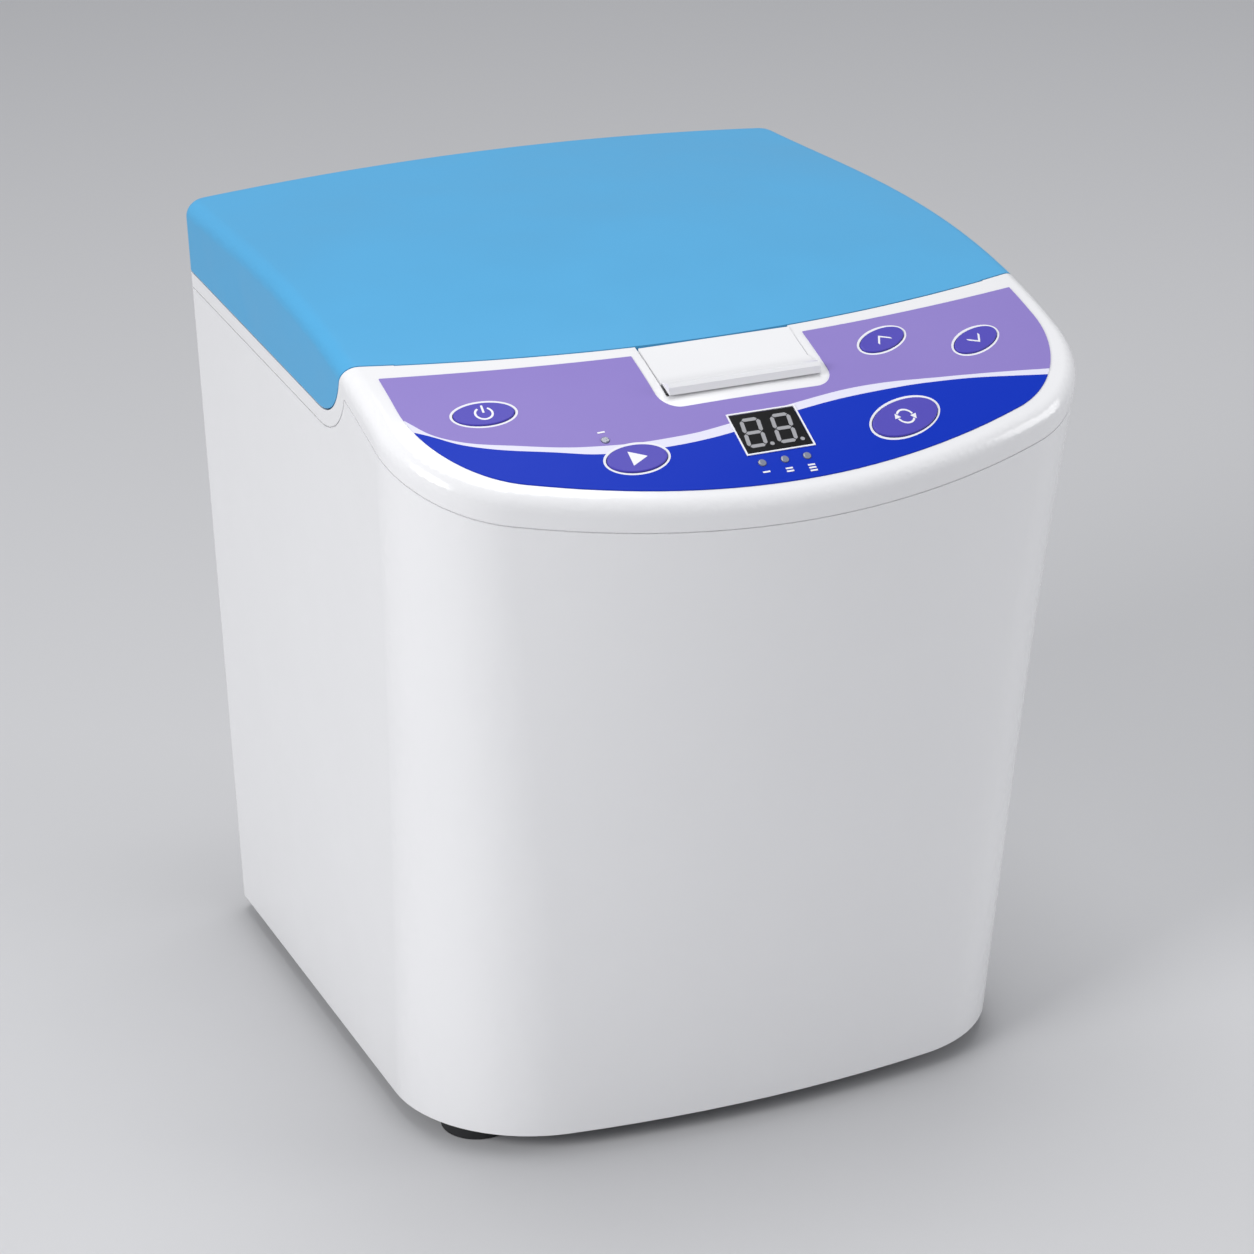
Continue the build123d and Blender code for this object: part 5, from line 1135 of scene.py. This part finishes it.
@dataclass
class Lid(SubAssembly):
    """The blue lid with its liner, seal, latch plate and hinges."""

    shell_edge: Edge = Edge(0.0003)
    small_edge: Edge = Edge(0.0002)
    leaf_edge: Edge = Edge(0.00015)
    screw_edge: Edge = Edge(0.0001)

    def plan(self) -> Plan:
        """Choose finishes and edges.

        Returns:
            The finish and the edges of each node.
        """
        return {
            "lid_shell": (BLUE, self.shell_edge), "lid_liner": (LINER, self.shell_edge),
            "lid_gasket": (GREY_RUBBER, SHARP), "lid_magnet": (MAGNET, self.small_edge),
            "lid_sensor": (BLACK, self.small_edge), "lid_strike": (SHEET, self.leaf_edge),
            "lid_hinge_leaves": (SHEET, self.leaf_edge), "rear_hinge_leaves": (SHEET, self.leaf_edge),
            "hinge_pins": (TURNED, self.small_edge), "liner_screws": (ZINC, self.screw_edge),
            "lid_leaf_screws": (ZINC, self.screw_edge), "rear_leaf_screws": (ZINC, self.screw_edge),
        }


@dataclass
class Latch(SubAssembly):
    """The white latch tab and its springs."""

    tab_edge: Edge = Edge(0.0005, 3)

    def plan(self) -> Plan:
        """The finish and the edges of each node."""
        return {"latch_tab": (WHITE, self.tab_edge), "latch_springs": (TURNED, SHARP)}


@dataclass
class Drive(SubAssembly):
    """Chamber, motor and everything fixed that carries the rotor."""

    heavy_edge: Edge = Edge(0.0003)
    small_edge: Edge = Edge(0.0002)
    screw_edge: Edge = Edge(0.0001)

    def plan(self) -> Plan:
        """Choose finishes and edges.

        Returns:
            The finish and the edges of each node.
        """
        return {
            "chamber_bowl": (SHEET, self.small_edge), "drip_collar": (BLACK_RUBBER, SHARP),
            "motor_case": (ENAMEL, self.heavy_edge), "motor_magnets": (MAGNET, self.small_edge),
            "motor_mount": (SHEET, self.heavy_edge), "drive_screws": (ZINC, self.screw_edge),
            "mount_posts": (CAST, self.heavy_edge), "mount_dampers": (BLACK_RUBBER, self.heavy_edge),
            "bearing_housing": (CAST, self.heavy_edge), "spindle_bearings": (RING, self.small_edge),
            "drive_track": (CAST, self.heavy_edge), "track_tyre": (BROWN_RUBBER, self.heavy_edge),
            "track_screws": (ZINC, self.screw_edge),
        }


@dataclass
class Rotor(SubAssembly):
    """The turning arm, its counterweight and the tilted cup."""

    arm_edge: Edge = Edge(0.0005)
    carrier_edge: Edge = Edge(0.0004)
    heavy_edge: Edge = Edge(0.0003)
    small_edge: Edge = Edge(0.0002)

    def plan(self) -> Plan:
        """Choose finishes and edges.

        Returns:
            The finish and the edges of each node.
        """
        return {
            "spindle": (TURNED, self.small_edge), "motor_armature": (WINDING, self.heavy_edge),
            "rotor_arm": (CAST, self.arm_edge), "rotor_nut": (ZINC, self.heavy_edge),
            "counterweight": (TURNED, self.heavy_edge), "cup_bearing": (RING, self.small_edge),
            "cup_carrier": (CAST, self.carrier_edge), "drive_roller": (BROWN_RUBBER, self.heavy_edge),
            "mixing_cup": (CUP, self.heavy_edge), "cup_cap": (CAP, self.heavy_edge),
        }


@dataclass
class Electronics(SubAssembly):
    """Boards, inlet and leads."""

    board_edge: Edge = Edge(0.0002)
    case_edge: Edge = Edge(0.0003)

    def plan(self) -> Plan:
        """Choose finishes and edges.

        Returns:
            The finish and the edges of each node.
        """
        return {
            "driver_board": (BOARD, self.board_edge), "driver_standoffs": (ZINC, SHARP),
            "power_inlet": (BLACK, self.case_edge), "fuse_drawer": (BLACK, self.case_edge),
            "inner_leads": (LEAD, SHARP),
        }


# ---------- camera, light and floor
@dataclass(frozen=True)
class PhotoCamera:
    """The camera that the photograph was taken from, in degrees, millimetres of lens and metres."""

    azimuth: float = -23.97
    elevation: float = 22.36
    roll: float = -0.32
    lens: float = 114.86
    sensor: float = 36.0
    distance: float = 1.6007
    target: Place = (0.00406, 0.01224, 0.15551)
    clip: tuple[float, float] = (0.05, 20.0)

    def build(self) -> bpy.types.Object:
        """Create the camera and make it the scene's.

        Returns:
            The camera's object.
        """
        a, e, r = (math.radians(v) for v in (self.azimuth, self.elevation, self.roll))
        back = Vector((math.sin(a) * math.cos(e), -math.cos(a) * math.cos(e), math.sin(e)))
        right = Vector((0.0, 0.0, 1.0)).cross(back).normalized()
        up = back.cross(right)
        turned_right = right * math.cos(r) + up * math.sin(r)
        turned_up = up * math.cos(r) - right * math.sin(r)
        data = bpy.data.cameras.new("photo_camera")
        data.lens = self.lens
        data.sensor_width = self.sensor
        data.clip_start, data.clip_end = self.clip
        camera = bpy.data.objects.new("photo_camera", data)
        bpy.context.scene.collection.objects.link(camera)
        matrix = Matrix((turned_right, turned_up, back)).transposed().to_4x4()
        matrix.translation = Vector(self.target) + back * self.distance
        camera.matrix_world = matrix
        bpy.context.scene.camera = camera
        return camera


@dataclass(frozen=True)
class SoftLamp:
    """One square area lamp, in metres and watts."""

    name: str
    place: Place
    size: float
    power: float

    def build(self, aim: Vector) -> None:
        """Hang the lamp and point it.

        Args:
            aim: The spot that it points at.
        """
        data = bpy.data.lights.new(self.name, "AREA")
        data.size = self.size
        data.energy = self.power
        lamp = bpy.data.objects.new(self.name, data)
        lamp.location = self.place
        lamp.rotation_mode = "QUATERNION"
        lamp.rotation_quaternion = (aim - Vector(self.place)).to_track_quat("-Z", "Y")
        bpy.context.scene.collection.objects.link(lamp)


@dataclass
class Studio:
    """A pale table, soft lamps and an even world."""

    table: Color = (0.60, 0.60, 0.61)
    table_roughness: float = 0.6
    size: float = 8.0
    sky: Color = (0.93, 0.95, 1.0)
    world: float = 0.4
    aim: Place = (0.0, 0.0, 0.15)
    lamps: tuple[SoftLamp, ...] = (
        SoftLamp("key_lamp", (-2.15, -0.8, 1.35), 1.0, 34.0),
        SoftLamp("top_lamp", (0.1, 0.3, 2.6), 1.4, 27.0),
        SoftLamp("fill_lamp", (2.4, -1.0, 0.8), 1.2, 18.0),
    )

    def build(self) -> None:
        """Create floor, lamps and world."""
        self.floor()
        for lamp in self.lamps:
            lamp.build(Vector(self.aim))
        world = bpy.data.worlds.new("studio_world")
        world.use_nodes = True
        background = world.node_tree.nodes["Background"]
        background.inputs["Color"].default_value = (*self.sky, 1.0)
        background.inputs["Strength"].default_value = self.world
        bpy.context.scene.world = world

    def floor(self) -> None:
        """The table top, flat behind the object as well."""
        half = self.size / 2
        corners = [(-half, -half, 0.0), (half, -half, 0.0), (half, half, 0.0), (-half, half, 0.0)]
        mesh = bpy.data.meshes.new("table_top")
        mesh.from_pydata(corners, [], [(0, 1, 2, 3)])
        work = Shading("table_top")
        work.shader.inputs["Base Color"].default_value = (*self.table, 1.0)
        work.set_values({"Roughness": self.table_roughness})
        floor = add_object("table_top", mesh, work.material)


def main() -> None:
    """Build the scene in order."""
    logging.basicConfig(level=logging.INFO, format="%(name)s: %(message)s")
    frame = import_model()
    scene = bpy.context.scene
    scene.view_settings.view_transform = "Standard"
    painter = Painter(ShaderLibrary())
    dresser = Dresser(frame["nodes"], painter)
    panel = ControlPanel()
    groups: tuple[SubAssembly, ...] = (Housing(), Lid(), Latch(), panel, Drive(), Rotor(), Electronics())
    for group in groups:
        group.dress(dresser)
    panel.print_marks(painter)
    PhotoCamera().build()
    Studio().build()


if __name__ == "__main__":
    main()
